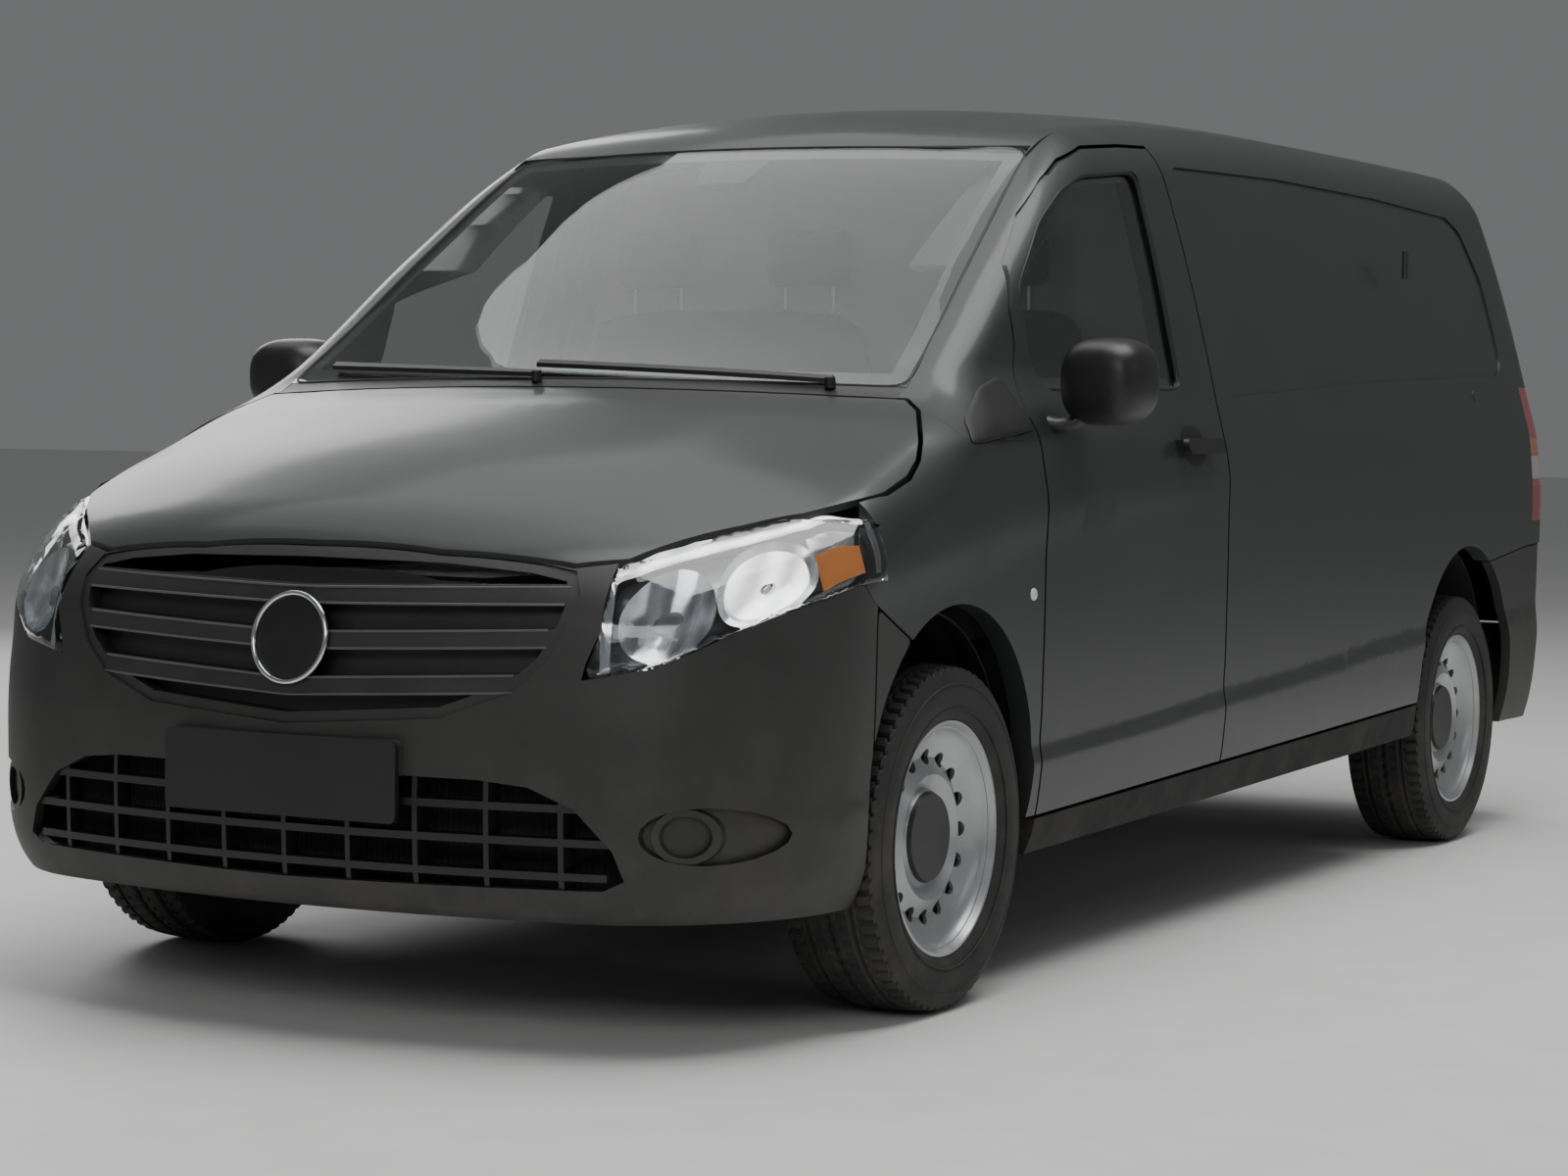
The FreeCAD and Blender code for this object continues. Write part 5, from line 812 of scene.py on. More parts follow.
class CadCopy:
    """A merged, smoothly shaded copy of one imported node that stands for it."""

    def __init__(self, frame: dict, node: str) -> None:
        """Reads the node's mesh and merges its vertices."""
        self.node = node
        source = frame["nodes"][node]
        self.body = source["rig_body"]
        source.data.calc_loop_triangles()
        points = read(source.data.vertices, "co")
        corners = read(source.data.loop_triangles, "vertices", np.int32)
        keys = np.round(points * 2e5).astype(np.int64)
        _, first, back = np.unique(keys, axis=0, return_index=True, return_inverse=True)
        self.points = points[first].astype(float)
        faces = back.reshape(-1)[corners]
        whole = (faces[:, 0] != faces[:, 1]) & (faces[:, 1] != faces[:, 2]) & (faces[:, 0] != faces[:, 2])
        self.faces = faces[whole]
        self.rise = FORM.distance(self.points)

    def skin(self, near: float = 0.010, deep: float = 0.075, level: float = 0.80) -> tuple[Array, Array]:
        """Finds the corners that lie along the body's skin, and the skin's direction there.

        Args:
            near: How far outside the skin a corner may be.
            deep: How far inside.
            level: Least cosine between the face and the skin.

        Returns:
            A mask of corners and their unit directions, face by face.
        """
        way = FORM.normal(self.points)[self.faces]
        a, b, c = (self.points[self.faces[:, k]] for k in range(3))
        side = (unit(np.cross(b - a, c - a))[:, None] * way).sum(-1)
        inside = (self.rise < near) & (self.rise > -deep)
        mask = inside[self.faces] & (np.abs(side) > level)
        return mask & mask.all(1)[:, None], way * np.sign(side)[..., None]

    def piece(self, name: str, finish: Finish, keep: Optional[Array] = None, skin: bool = True,
              sharp: float = 28.0) -> bpy.types.Object:
        """Makes the copy into a piece that stands for the node.

        Args:
            name: The piece's name.
            finish: Its finish.
            keep: Mask of the faces that are kept.
            skin: Whether its corners take the body's directions where they follow it.
            sharp: Angle past which other edges stay hard.

        Returns:
            The piece.
        """
        if keep is None:
            keep = np.ones(len(self.faces), bool)
        used, back = np.unique(self.faces[keep], return_inverse=True)
        piece = mesh_object(name, self.points[used], back.reshape(-1, 3), finish, self.body, sharp)
        if skin:
            mask, way = (part[keep] for part in self.skin())
            normals = read(piece.data.corner_normals, "vector")
            flat = mask.reshape(-1)
            if len(flat) == len(normals):
                normals[flat] = way.reshape(-1, 3)[flat]
                piece.data.normals_split_custom_set(normals.tolist())
        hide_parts(self.node)
        return piece

    def split(self, mask: Array, rest: tuple[str, Finish], chosen: tuple[str, Finish], skin: bool = True,
              sharp: float = 28.0) -> None:
        """Makes two pieces of the copy.

        Args:
            mask: Mask of the faces that go into the second piece.
            rest: Name and finish of the first piece.
            chosen: Name and finish of the second piece.
            skin: Whether the first one takes the body's directions.
            sharp: Angle past which edges stay hard.
        """
        self.piece(*rest, ~mask, skin, sharp)
        if mask.any():
            self.piece(*chosen, mask, False, sharp)


def resampled(outline: Array, count: int) -> Array:
    """Evenly spaced points round a closed outline, by its arc length."""
    ring = np.concatenate([outline, outline[:1]])
    reach = np.concatenate([[0.0], np.cumsum(np.linalg.norm(np.diff(ring, axis=0), axis=1))])
    place = np.linspace(0, reach[-1], count, endpoint=False)
    return stacked(*(np.interp(place, reach, ring[:, k]) for k in range(2)))


def softened(outline: Array, count: int, rounds: int) -> Array:
    """A closed outline spaced evenly, each point moved to the mean of itself and its neighbours some times over."""
    outline = resampled(np.array(outline), count)
    for _ in range(rounds):
        outline = (np.roll(outline, 1, 0) + 2 * outline + np.roll(outline, -1, 0)) / 4
    return outline


def inset(outline: Array, way: float) -> Array:
    """A closed outline moved inwards along its own edge normals by a distance."""
    edge = np.roll(outline, -1, 0) - np.roll(outline, 1, 0)
    normal = unit(stacked(-edge[:, 1], edge[:, 0]))
    x, y = outline.T
    area = (x * np.roll(y, -1) - np.roll(x, -1) * y).sum()
    return outline + normal * way * (1 if area > 0 else -1)


@dataclass
class Panels:
    """Painted panels and moulded covers, copied from the solids and shaded by the body's own form."""

    frame: dict
    painted: tuple[str, ...] = ("hood", "fender_left", "fender_right", "a_pillar_left", "a_pillar_right", "roof",
                                "side_panel_left", "side_panel_right", "rear_door_left", "rear_door_right")
    handled: tuple[str, ...] = ("door_left", "door_right", "sliding_door")
    covered: tuple[tuple[str, Finish], ...] = (
        ("rear_bumper", GREY_PLASTIC), ("grille", GREY_PLASTIC), ("lower_grille", GRILLE_BLACK),
        ("cowl_trim", BLACK_PLASTIC), ("tail_lamp_left", TAIL_RED), ("tail_lamp_right", TAIL_RED))
    handle_rise: float = 0.005
    plate_half: float = 0.2605
    plate_low: float = 0.4095
    plate_high: float = 0.5605
    plate_rise: float = 0.001

    def build(self) -> None:
        """Makes all the copies, a door's handle and the blank bracket split off theirs."""
        for node in self.painted:
            CadCopy(self.frame, node).piece(node + "_panel", PAINT)
        for node in self.handled:
            copy = CadCopy(self.frame, node)
            proud = copy.rise[copy.faces].mean(1) > self.handle_rise
            copy.split(proud, (node + "_panel", PAINT), (node + "_handle", BLACK_PLASTIC))
        copy = CadCopy(self.frame, "front_bumper")
        x, z = np.abs(copy.points[:, 0]), copy.points[:, 2]
        on = (x < self.plate_half) & (z > self.plate_low) & (z < self.plate_high) & (copy.rise > self.plate_rise)
        copy.split(on[copy.faces].all(1), ("front_bumper_cover", GREY_PLASTIC), ("plate_bracket", BLACK_PLASTIC))
        for node, finish in self.covered:
            CadCopy(self.frame, node).piece(node + "_cover", finish)


@dataclass
class Carried:
    """Solids that keep their own mesh and only take a finish."""

    frame: dict
    finishes: tuple[tuple[str, Finish], ...] = (
        ("floor_pan", UNDERBODY), ("underframe", UNDERBODY), ("firewall", INNER_PAINT),
        ("bulkhead", BULKHEAD_PAINT), ("dashboard", SOFT_PLASTIC), ("engine_block", ENGINE_METAL),
        ("front_subframe", DARK_STEEL), ("rear_axle", DARK_STEEL), ("knuckle_left", DARK_STEEL),
        ("knuckle_right", DARK_STEEL), ("wheel_liner_left", UNDERBODY), ("wheel_liner_right", UNDERBODY),
        ("steering_wheel", BLACK_PLASTIC), ("wipers", BLACK_PLASTIC))

    def dress(self) -> None:
        """Gives each solid its finish."""
        for node, finish in self.finishes:
            piece = self.frame["nodes"][node]
            if not piece.material_slots:
                piece.data.materials.append(None)
            for place in piece.material_slots:
                place.material = finish.build()
            LOG.info("solid %s", node)


@dataclass
class Glazing:
    """Panes with their dark printed borders and rubber seals."""

    frame: dict
    screen_foot: Pair = (0.752, 0.1895)
    screen_head: Pair = (0.655, 0.3560)
    side_window: Table = ((0.2930, 0.6330), (0.2960, 0.7430), (0.3340, 0.8220), (0.3600, 0.8600),
                          (0.3830, 0.8820), (0.4360, 0.8950), (0.4400, 0.8900), (0.4330, 0.6370))
    rear_window: Table = ((0.110, 1.190), (0.735, 1.190), (0.675, 1.665), (0.110, 1.665))
    border: float = 0.045
    border_thick: float = 0.0012
    pane_back: float = 0.0205
    count: int = 220

    def build(self) -> None:
        """Makes the panes, borders and seals."""
        for node in ("windscreen", "door_glass_left", "door_glass_right", "rear_glass_left", "rear_glass_right"):
            CadCopy(self.frame, node).piece(node + "_pane", WINDOW_GLASS)
        self.build_screen()
        door = np.array(self.side_window)
        door = stacked(FORM.station(door[:, 0]), FORM.height * door[:, 1])
        for side in Side:
            self.build_window(side, ("door", "front_door_"), View.SIDE, softened(door, self.count, 10), 0.022, 0.006)
            self.build_window(side, ("rear", "back_door_"), View.BACK, softened(self.rear_window, self.count, 22),
                              0.040, 0.004)

    @staticmethod
    def ring(name: str, face: Array, back: Array, body: str) -> None:
        """A flat dark ring from the nested lines of its face and of its back."""
        closed_grid(name, np.concatenate([face, back[::-1]]).transpose(1, 0, 2), FRIT, body, both=True)

    @staticmethod
    def nested(outline: Array, width: float) -> Array:
        """Four outlines, each inside the last, over a width."""
        return np.stack([inset(outline, width * share) for share in (0.0, 0.34, 0.67, 1.0)])

    def on_screen(self, plan: Array, depth: float) -> Array:
        """Points of the windscreen over places in plan, at a depth."""
        return FORM.settle(stacked(plan[..., 0], plan[..., 1], FORM.top_height(plan[..., 0], plan[..., 1])), depth)

    def build_screen(self) -> None:
        """The windscreen's border, its seal and the sensor's base, on edges swept back with the top."""
        edges = []
        for (half, share), way in ((self.screen_foot, 1), (self.screen_head, -1)):
            x = np.linspace(-half, half, 40)[::way]
            edges.append(stacked(x, FORM.station(share) + FORM.top_sweep * (x / (FORM.width / 2)) ** 2))
        outline = softened(np.concatenate(edges), self.count, 3)
        lines = self.nested(inset(outline, 0.001), self.border)
        self.ring("windscreen_border", self.on_screen(lines, 0.0082),
                  self.on_screen(lines, 0.0082 + self.border_thick), "body")
        tube("windscreen_seal", self.on_screen(inset(outline, 0.002), 0.002), 0.0042, SEAL_RUBBER, around=8,
             closed=True)
        u, v = spread(np.linspace(-1, 1, 15), np.linspace(0, 1, 9))
        plan = stacked(u * (0.085 - 0.025 * v), FORM.station(self.screen_head[1] - 0.008 - 0.020 * v))
        slab("sensor_base", self.on_screen(plan, 0.0095), self.on_screen(plan, 0.034), BLACK_PLASTIC)

    def build_window(self, side: Side, words: tuple[str, str], view: View, outline: Array, width: float,
                     depth: float) -> None:
        """A door window's seal and the dark border behind its pane.

        Args:
            side: Which side of the van.
            words: What the pieces' names and the body's name start with.
            view: View that shows the window flat.
            outline: Its outline there.
            width: Width of the border.
            depth: Depth of the seal.
        """
        body, lines = words[1] + side.word, self.nested(inset(outline, 0.003), width)
        face, back = (FORM.seen(view, lines, self.pane_back + way) * side.turn for way in (0.0, self.border_thick))
        self.ring("%s_window_border_%s" % (words[0], side.word), face, back, body)
        tube("%s_window_seal_%s" % (words[0], side.word), FORM.seen(view, inset(outline, 0.002), depth) * side.turn,
             0.0055, SEAL_RUBBER, body, around=8, closed=True)


@dataclass
class Headlamp:
    """One headlamp: clear lens over a grey tray with two bowls, the outer one lit, strips and an amber end.

    Everything inside lies on a grid over the lamp's outline: one parameter runs outboard round the nose as a plan
    angle, the other from the lower edge to the upper one, and each piece has its own depth below the skin. A zone
    has its depth at the edges and how it swells to the middle; a bowl its depth at the rim and in the middle.
    """

    frame: dict
    side: Side
    centre: Pair = (0.45, -1.75)
    low: Table = ((0.612, 0.3600), (0.735, 0.3700), (0.800, 0.3850), (0.905, 0.4180), (0.960, 0.4340),
                  (0.995, 0.4520))
    high: Table = ((0.612, 0.3700), (0.625, 0.4600), (0.720, 0.4770), (0.800, 0.4990), (0.880, 0.5240),
                   (0.960, 0.5290), (0.995, 0.5060))
    lid: Table = ((0.500, 0.0345), (0.640, 0.0440), (0.790, 0.0770), (0.865, 0.0975), (0.915, 0.1180),
                  (0.936, 0.1345))
    lid_gap: float = 0.0105
    start: float = 14.2
    end: float = 76.0
    columns: int = 150
    rows: int = 60
    wall: float = 0.0015
    zones: tuple[tuple, ...] = (("tray", LAMP_TRAY, (0.0, 1.0), (0.0, 1.0), 0.056, -0.012),
                                ("outer_reflector", REFLECTOR, (0.715, 0.96), (0.62, 0.84), 0.022, 0.012),
                                ("indicator", AMBER_LENS, (0.715, 0.92), (0.10, 0.60), 0.016, 0.008),
                                ("edge_strip", LAMP_METAL, (0.030, 0.058), (0.03, 0.97), 0.007, 0.0),
                                ("outer_rim", LAMP_TRAY, (0.955, 0.985), (0.08, 0.90), 0.008, 0.0),
                                ("daylight_band", DAYLIGHT, (0.05, 0.95), (0.878, 0.990), 0.006, 0.0))
    bowls: tuple[tuple, ...] = (("inner_bowl", REFLECTOR, (0.215, 0.43), (0.140, 0.40), (0.012, 0.048)),
                                ("main_bowl", REFLECTOR, (0.530, 0.43), (0.172, 0.42), (0.010, 0.046)),
                                ("lit_core", LIT, (0.530, 0.43), (0.140, 0.345), (0.017, 0.036)))

    def __post_init__(self) -> None:
        """Tabulates the lamp's lower and upper edge across, the upper one kept clear of the bonnet's edge."""
        self.steps = np.linspace(0.0, 1.0, 90)
        half, height = FORM.width / 2, FORM.height
        share = self.reach(self.steps, np.full(90, 0.44 * height))[:, 0] / half
        self.foot = height * straight(self.low, share)
        reach = height * straight(self.high, share) - self.foot
        up = np.linspace(0.0, 1.0, 48)
        points = self.reach(self.steps[:, None], self.foot[:, None] + reach[:, None] * up)
        edge = FORM.length * (straight(self.lid, points[..., 0] / half) - 0.5)
        clear = points[..., 1] < edge - self.lid_gap
        self.head = self.foot + reach * np.where(clear.all(1), 1.0, up[np.maximum(clear.argmin(1) - 1, 0)])
        for _ in range(8):
            self.head[1:-1] = (self.head[:-2] + 2 * self.head[1:-1] + self.head[2:]) / 4

    def reach(self, s: Array, z: Array) -> Array:
        """Skin points met by level rays from the lamp's centre, turned by the parameter across."""
        angle = np.radians(self.start + (self.end - self.start) * s)
        way = stacked(np.sin(angle), -np.cos(angle), 0 * z)
        return FORM.crossing(stacked(*self.centre, z), way, sign=1)

    def place(self, s: Array, t: Array, depth: Array) -> Array:
        """Points of the lamp at parameters across and upwards and a depth below the skin, of one shape."""
        foot, head = np.interp(s, self.steps, self.foot), np.interp(s, self.steps, self.head)
        points = self.reach(s, foot + (head - foot) * t)
        return (points - FORM.normal(points) * depth[..., None]) * self.side.turn

    def build(self) -> None:
        """Makes the lens and everything behind it: zones, bowls and the bulb's round cover."""
        node = "headlamp_" + self.side.word
        copy = CadCopy(self.frame, node)
        outer = copy.skin(0.006, 0.006, 0.6)[0].all(1) & (copy.rise[copy.faces] > -0.006).all(1)
        lens = copy.piece(node + "_lens", LAMP_GLASS, outer)
        wall = lens.modifiers.new("lens_wall", "SOLIDIFY")
        wall.thickness, wall.offset = 0.0025, -1.0
        for word, finish, across, upwards, edge, swell in self.zones:
            s, t = spread(*(np.linspace(*ends, max(int(count * (ends[1] - ends[0])), least)) for ends, count, least
                             in ((across, self.columns, 8), (upwards, self.rows, 6))))
            deep = edge + swell * np.sin(np.pi * t)
            if finish is DAYLIGHT:
                deep = deep + 0.004 * ((t - 0.92) / 0.05) ** 2
            slab(self.name(word), self.place(s, t, deep), self.place(s, t, deep + self.wall), finish)
        for word, finish, middle, half, depth in self.bowls:
            self.bowl(word, finish, middle, half, depth)
        k = np.linspace(0, 1, 14)[:, None]
        ring = np.cos(k * np.pi / 2 * 0.98)[..., None] * circle(28)
        closed_grid(self.name("bulb_cover"), self.place(0.530 + 0.030 * ring[..., 0], 0.43 + 0.080 * ring[..., 1],
                                                        0.034 - 0.016 * k + 0 * ring[..., 0]), LAMP_METAL)

    def name(self, word: str) -> str:
        """A piece's name from its word and the side."""
        return "%s_%s" % (word, self.side.word)

    def bowl(self, word: str, finish: Finish, middle: Pair, half: Pair, depth: Pair) -> None:
        """A round bowl: rings grow from the middle while the depth falls with the square of their reach.

        Args:
            word: The bowl's word in the piece's name.
            finish: Its finish.
            middle: Its middle across and upwards.
            half: Its half sizes across and upwards.
            depth: Depth below the skin at the rim and in the middle.
        """
        c, s = circle(72).T
        grow = np.array([0.04, 0.2, 0.35, 0.5, 0.65, 0.78, 0.88, 0.95, 1.0])[:, None]
        across, up = middle[0] + half[0] * grow * c, middle[1] + half[1] * grow * bend(s, 0.85)
        deep = depth[0] + (depth[1] - depth[0]) * (1 - grow ** 2) + 0 * across
        face, back = (self.place(across, up, deep + way) for way in (0.0, self.wall))
        closed_grid(self.name(word), np.concatenate([face, back[::-1]]), finish)


@dataclass
class Wheel:
    """One wheel: its tyre with tread and moulded walls, its painted rim and its dark cap."""

    frame: dict
    place: str
    centre: tuple[float, float, float]
    radius: float = 0.338
    half: float = 0.110
    flank: float = 0.0945
    crown: float = 0.094
    drop: float = 0.0065
    bead: float = 0.2300
    blocks: int = 68
    steps: int = 272
    tread: float = 0.0075
    grooves: Table = ((-0.050, 0.0), (0.0, 1.0), (0.050, 0.0))
    lines: Table = ((0.251, 0.0), (0.300, 0.001))
    cap_radius: float = 0.088

    def profile(self) -> Array:
        """Closed section of the tyre: walls bulging as a sine, a crown falling with a power, a hollow inside."""
        a = np.linspace(-self.crown, self.crown, 75)
        crown = stacked(a, self.radius - self.drop * (np.abs(a) / self.crown) ** 2.4)
        k = np.linspace(0, 1, 16)
        r = self.bead + (self.radius - self.drop - self.bead) * k
        wall = self.flank + (self.half - self.flank) * np.sin(np.pi * np.clip(k * 1.02, 0, 1)) ** 0.75
        inner = np.linspace(1, -1, 15)
        hollow = stacked(0.084 * inner, self.bead + 0.002 + 0.085 * (1 - inner ** 4))
        return np.concatenate([stacked(-wall, r)[:-1], crown, stacked(wall, r)[::-1][1:], hollow])

    def tread_shape(self, a: Array, r: Array, turn: Array) -> Array:
        """Change of radius: three grooves round the tyre, and notches and fine cuts across the blocks.

        Args:
            a: Place along the axle.
            r: Radius there.
            turn: Angles round the axle, a column.

        Returns:
            The change for each angle and section point.
        """
        across = np.abs(a)
        crown = (r > self.radius - 0.012) & (across <= self.flank)
        zig = 0.0025 * np.sin(turn * self.blocks)
        grooves = sum(np.exp(-((a + zig * sway - at) / 0.0042) ** 4) for at, sway in self.grooves)
        phase = np.abs((turn * self.blocks + across * 60) / (2 * np.pi) % 1.0 - 0.5)
        shoulder = ease((across - 0.056) / 0.006) * (phase < 0.13)
        sipe = 0.45 * ease((0.046 - across) / 0.006) * (phase < 0.10)
        return -self.tread * np.clip(grooves + shoulder + sipe, 0, 1) * crown

    def build(self) -> None:
        """Makes the tyre, its section swept round the axle, the rim's two pieces and the wall's raised lines."""
        copy, centre = CadCopy(self.frame, "rim_" + self.place), np.array(self.centre)
        turn, (a, r) = turns(self.steps)[:, None], self.profile().T
        radius = r + self.tread_shape(a, r, turn)
        grid = centre + stacked(a, radius * np.sin(turn), radius * np.cos(turn))
        tyre = closed_grid("tread_tyre_" + self.place, grid, TYRE_RUBBER, copy.body, 30.0, True)
        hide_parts("tyre_" + self.place)
        middle, out = copy.points[copy.faces].mean(1) - centre, np.sign(centre[0])
        cap = (np.hypot(middle[:, 1], middle[:, 2]) < self.cap_radius) & (
            out * middle[:, 0] > (out * middle[:, 0]).max() - 0.10)
        copy.split(cap, ("rim_shell_" + self.place, WHEEL_STEEL), ("hub_cap_" + self.place, CAP_BLACK), False, 35.0)
        for k, (radius, proud) in enumerate(self.lines):
            y, z = radius * circle(160).T
            path = centre + stacked(out * (self.half - 0.0035 + proud), y, z)
            tube("wall_bead_%d_%s" % (k, self.place), path, 0.0024, TYRE_RUBBER, copy.body, around=6, closed=True)


@dataclass
class Pad:
    """One padded cushion: a superellipsoid whose faces crown, sheared back where it leans, then plumped as cloth.

    Attributes:
        name: The piece's name.
        low: Lowest corner of its room.
        high: Highest corner of its room.
        lean: Way the top leans back.
        seams: Sewn channels across it.
        fill: How full it is; not used.
        cap: Longest way a point moves as it is plumped.
        margin: What it starts smaller by on each side.
        voxel: Edge of the even mesh that is inflated.
        pressure: Pressure inside it.
        frames: Frames of the cloth run.
    """

    name: str
    low: Sequence[float]
    high: Sequence[float]
    lean: float = 0.0
    seams: int = 2
    fill: float = 0.8
    cap: float = 0.010
    margin: float = 0.012
    voxel: float = 0.006
    pressure: float = 4.0
    frames: int = 20

    def build(self) -> bpy.types.Object:
        """Makes the cushion.

        Returns:
            The piece.
        """
        low, high = np.array(self.low, float), np.array(self.high, float)
        half, middle = (high - low) / 2 - self.margin, (high + low) / 2
        u = np.linspace(-np.pi / 2, np.pi / 2, 46)[1:-1]
        thin = int(np.argmin(half))
        wide = [k for k in range(3) if k != thin]
        ring = bend(np.cos(u), 0.42)[:, None]
        grid = np.zeros((len(u), 84, 3))
        for axis, line in zip(wide, circle(84, 0.38).T):
            grid[..., axis] = half[axis] * ring * line
        grid[..., thin] = half[thin] * bend(np.sin(u), 0.62)[:, None]
        place = grid[..., wide[0]] / half[wide[0]]
        for k in range(self.seams):
            line = (k + 1) / (self.seams + 1) * 2 - 1
            grid[..., thin] *= 1 - 0.10 * np.exp(-((place - line) / 0.03) ** 2)
        grid[..., 1] += self.lean * (grid[..., 2] / half[2])
        piece = closed_grid(self.name, grid + middle, CLOTH, "body", 60.0)
        self.plump(piece)
        return piece

    def plump(self, piece: bpy.types.Object) -> None:
        """Remeshes the cushion, inflates it as cloth, caps its movement and applies it.

        Args:
            piece: The cushion.
        """
        scene, view = bpy.context.scene, bpy.context.view_layer
        view.objects.active = piece
        remesh = piece.modifiers.new("even", "REMESH")
        remesh.mode, remesh.voxel_size, remesh.use_smooth_shade = "VOXEL", self.voxel, True
        self.apply(piece)
        before = read(piece.data.vertices, "co")
        cloth = piece.modifiers.new("cloth", "CLOTH").settings
        cloth.use_pressure, cloth.uniform_pressure_force, cloth.quality = True, self.pressure, 3
        cloth.effector_weights.gravity = 0.0
        for number in range(1, self.frames + 1):
            scene.frame_set(number)
        self.apply(piece)
        scene.frame_set(1)
        mesh = piece.data
        way = read(mesh.vertices, "co") - before
        reach = np.linalg.norm(way, axis=1, keepdims=True)
        after = before + way * np.minimum(1.0, self.cap / np.maximum(reach, 1e-9))
        mesh.vertices.foreach_set("co", after.reshape(-1))
        mesh.polygons.foreach_set("use_smooth", np.ones(len(mesh.polygons), bool))
        mesh.update()

    @staticmethod
    def apply(piece: bpy.types.Object) -> None:
        """Turns the piece's live modifiers into its mesh."""
        graph = bpy.context.evaluated_depsgraph_get()
        mesh = bpy.data.meshes.new_from_object(piece.evaluated_get(graph))
        old = piece.data
        piece.modifiers.clear()
        piece.data = mesh
        bpy.data.meshes.remove(old)


@dataclass
class Seats:
    """Driver's seat and double passenger bench: padded cushions, backs and headrests on posts and a pedestal."""

    front: float = -0.640
    back: float = -0.170
    cushion_low: float = 0.770
    cushion_high: float = 0.905
    back_wall: float = 0.125
    back_top: float = 1.420
    back_lean: float = 0.062
    head_width: float = 0.260
    head_low: float = 1.436
    head_high: float = 1.610
    floor: float = 0.5565

    def build(self) -> None:
        """Makes both seats."""
        self.seat("seat_driver", 0.400, 0.500, 1)
        self.seat("seat_bench", -0.320, 0.840, 2)

    def seat(self, node: str, x: float, width: float, places: int) -> None:
        """One seat.

        Args:
            node: The node it stands for.
            x: Its middle.
            width: Its width.
            places: People it takes.
        """
        half, deep = width / 2, self.back - self.back_wall
        cushion = Pad(node + "_cushion", (x - half, self.front, self.cushion_low),
                      (x + half, self.back - 0.03, self.cushion_high), seams=2 * places).build()
        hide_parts(node)
        Pad(node + "_back", (x - half, deep, self.cushion_low + 0.03), (x + half, self.back - 0.062, self.back_top),
            lean=self.back_lean / 2, seams=2 * places).build()
        for k in range(places):
            middle = x + (k - (places - 1) / 2) * width / places
            Pad("%s_headrest_%d" % (node, k), (middle - self.head_width / 2, deep + self.back_lean, self.head_low),
                (middle + self.head_width / 2, self.back, self.head_high), seams=0, cap=0.006).build()
            for letter, way in zip("ab", (-1, 1)):
                path = stacked(middle + way * self.head_width / 4, deep + 0.094,
                               np.linspace(self.back_top - 0.09, self.head_low + 0.07, 6))
                tube("%s_post_%d_%s" % (node, k, letter), path, 0.006, BRIGHT_METAL)
        size = 1.0 - 0.10 * np.sin(np.linspace(0, np.pi, 8))[:, None]
        c, s = circle(40, 0.25).T
        rings = stacked(x + half * 0.78 * size * c, -0.390 + 0.180 * size * s,
                        np.linspace(self.floor, self.cushion_low + 0.02, 8)[:, None])
        closed_grid(node + "_pedestal", rings, SOFT_PLASTIC)


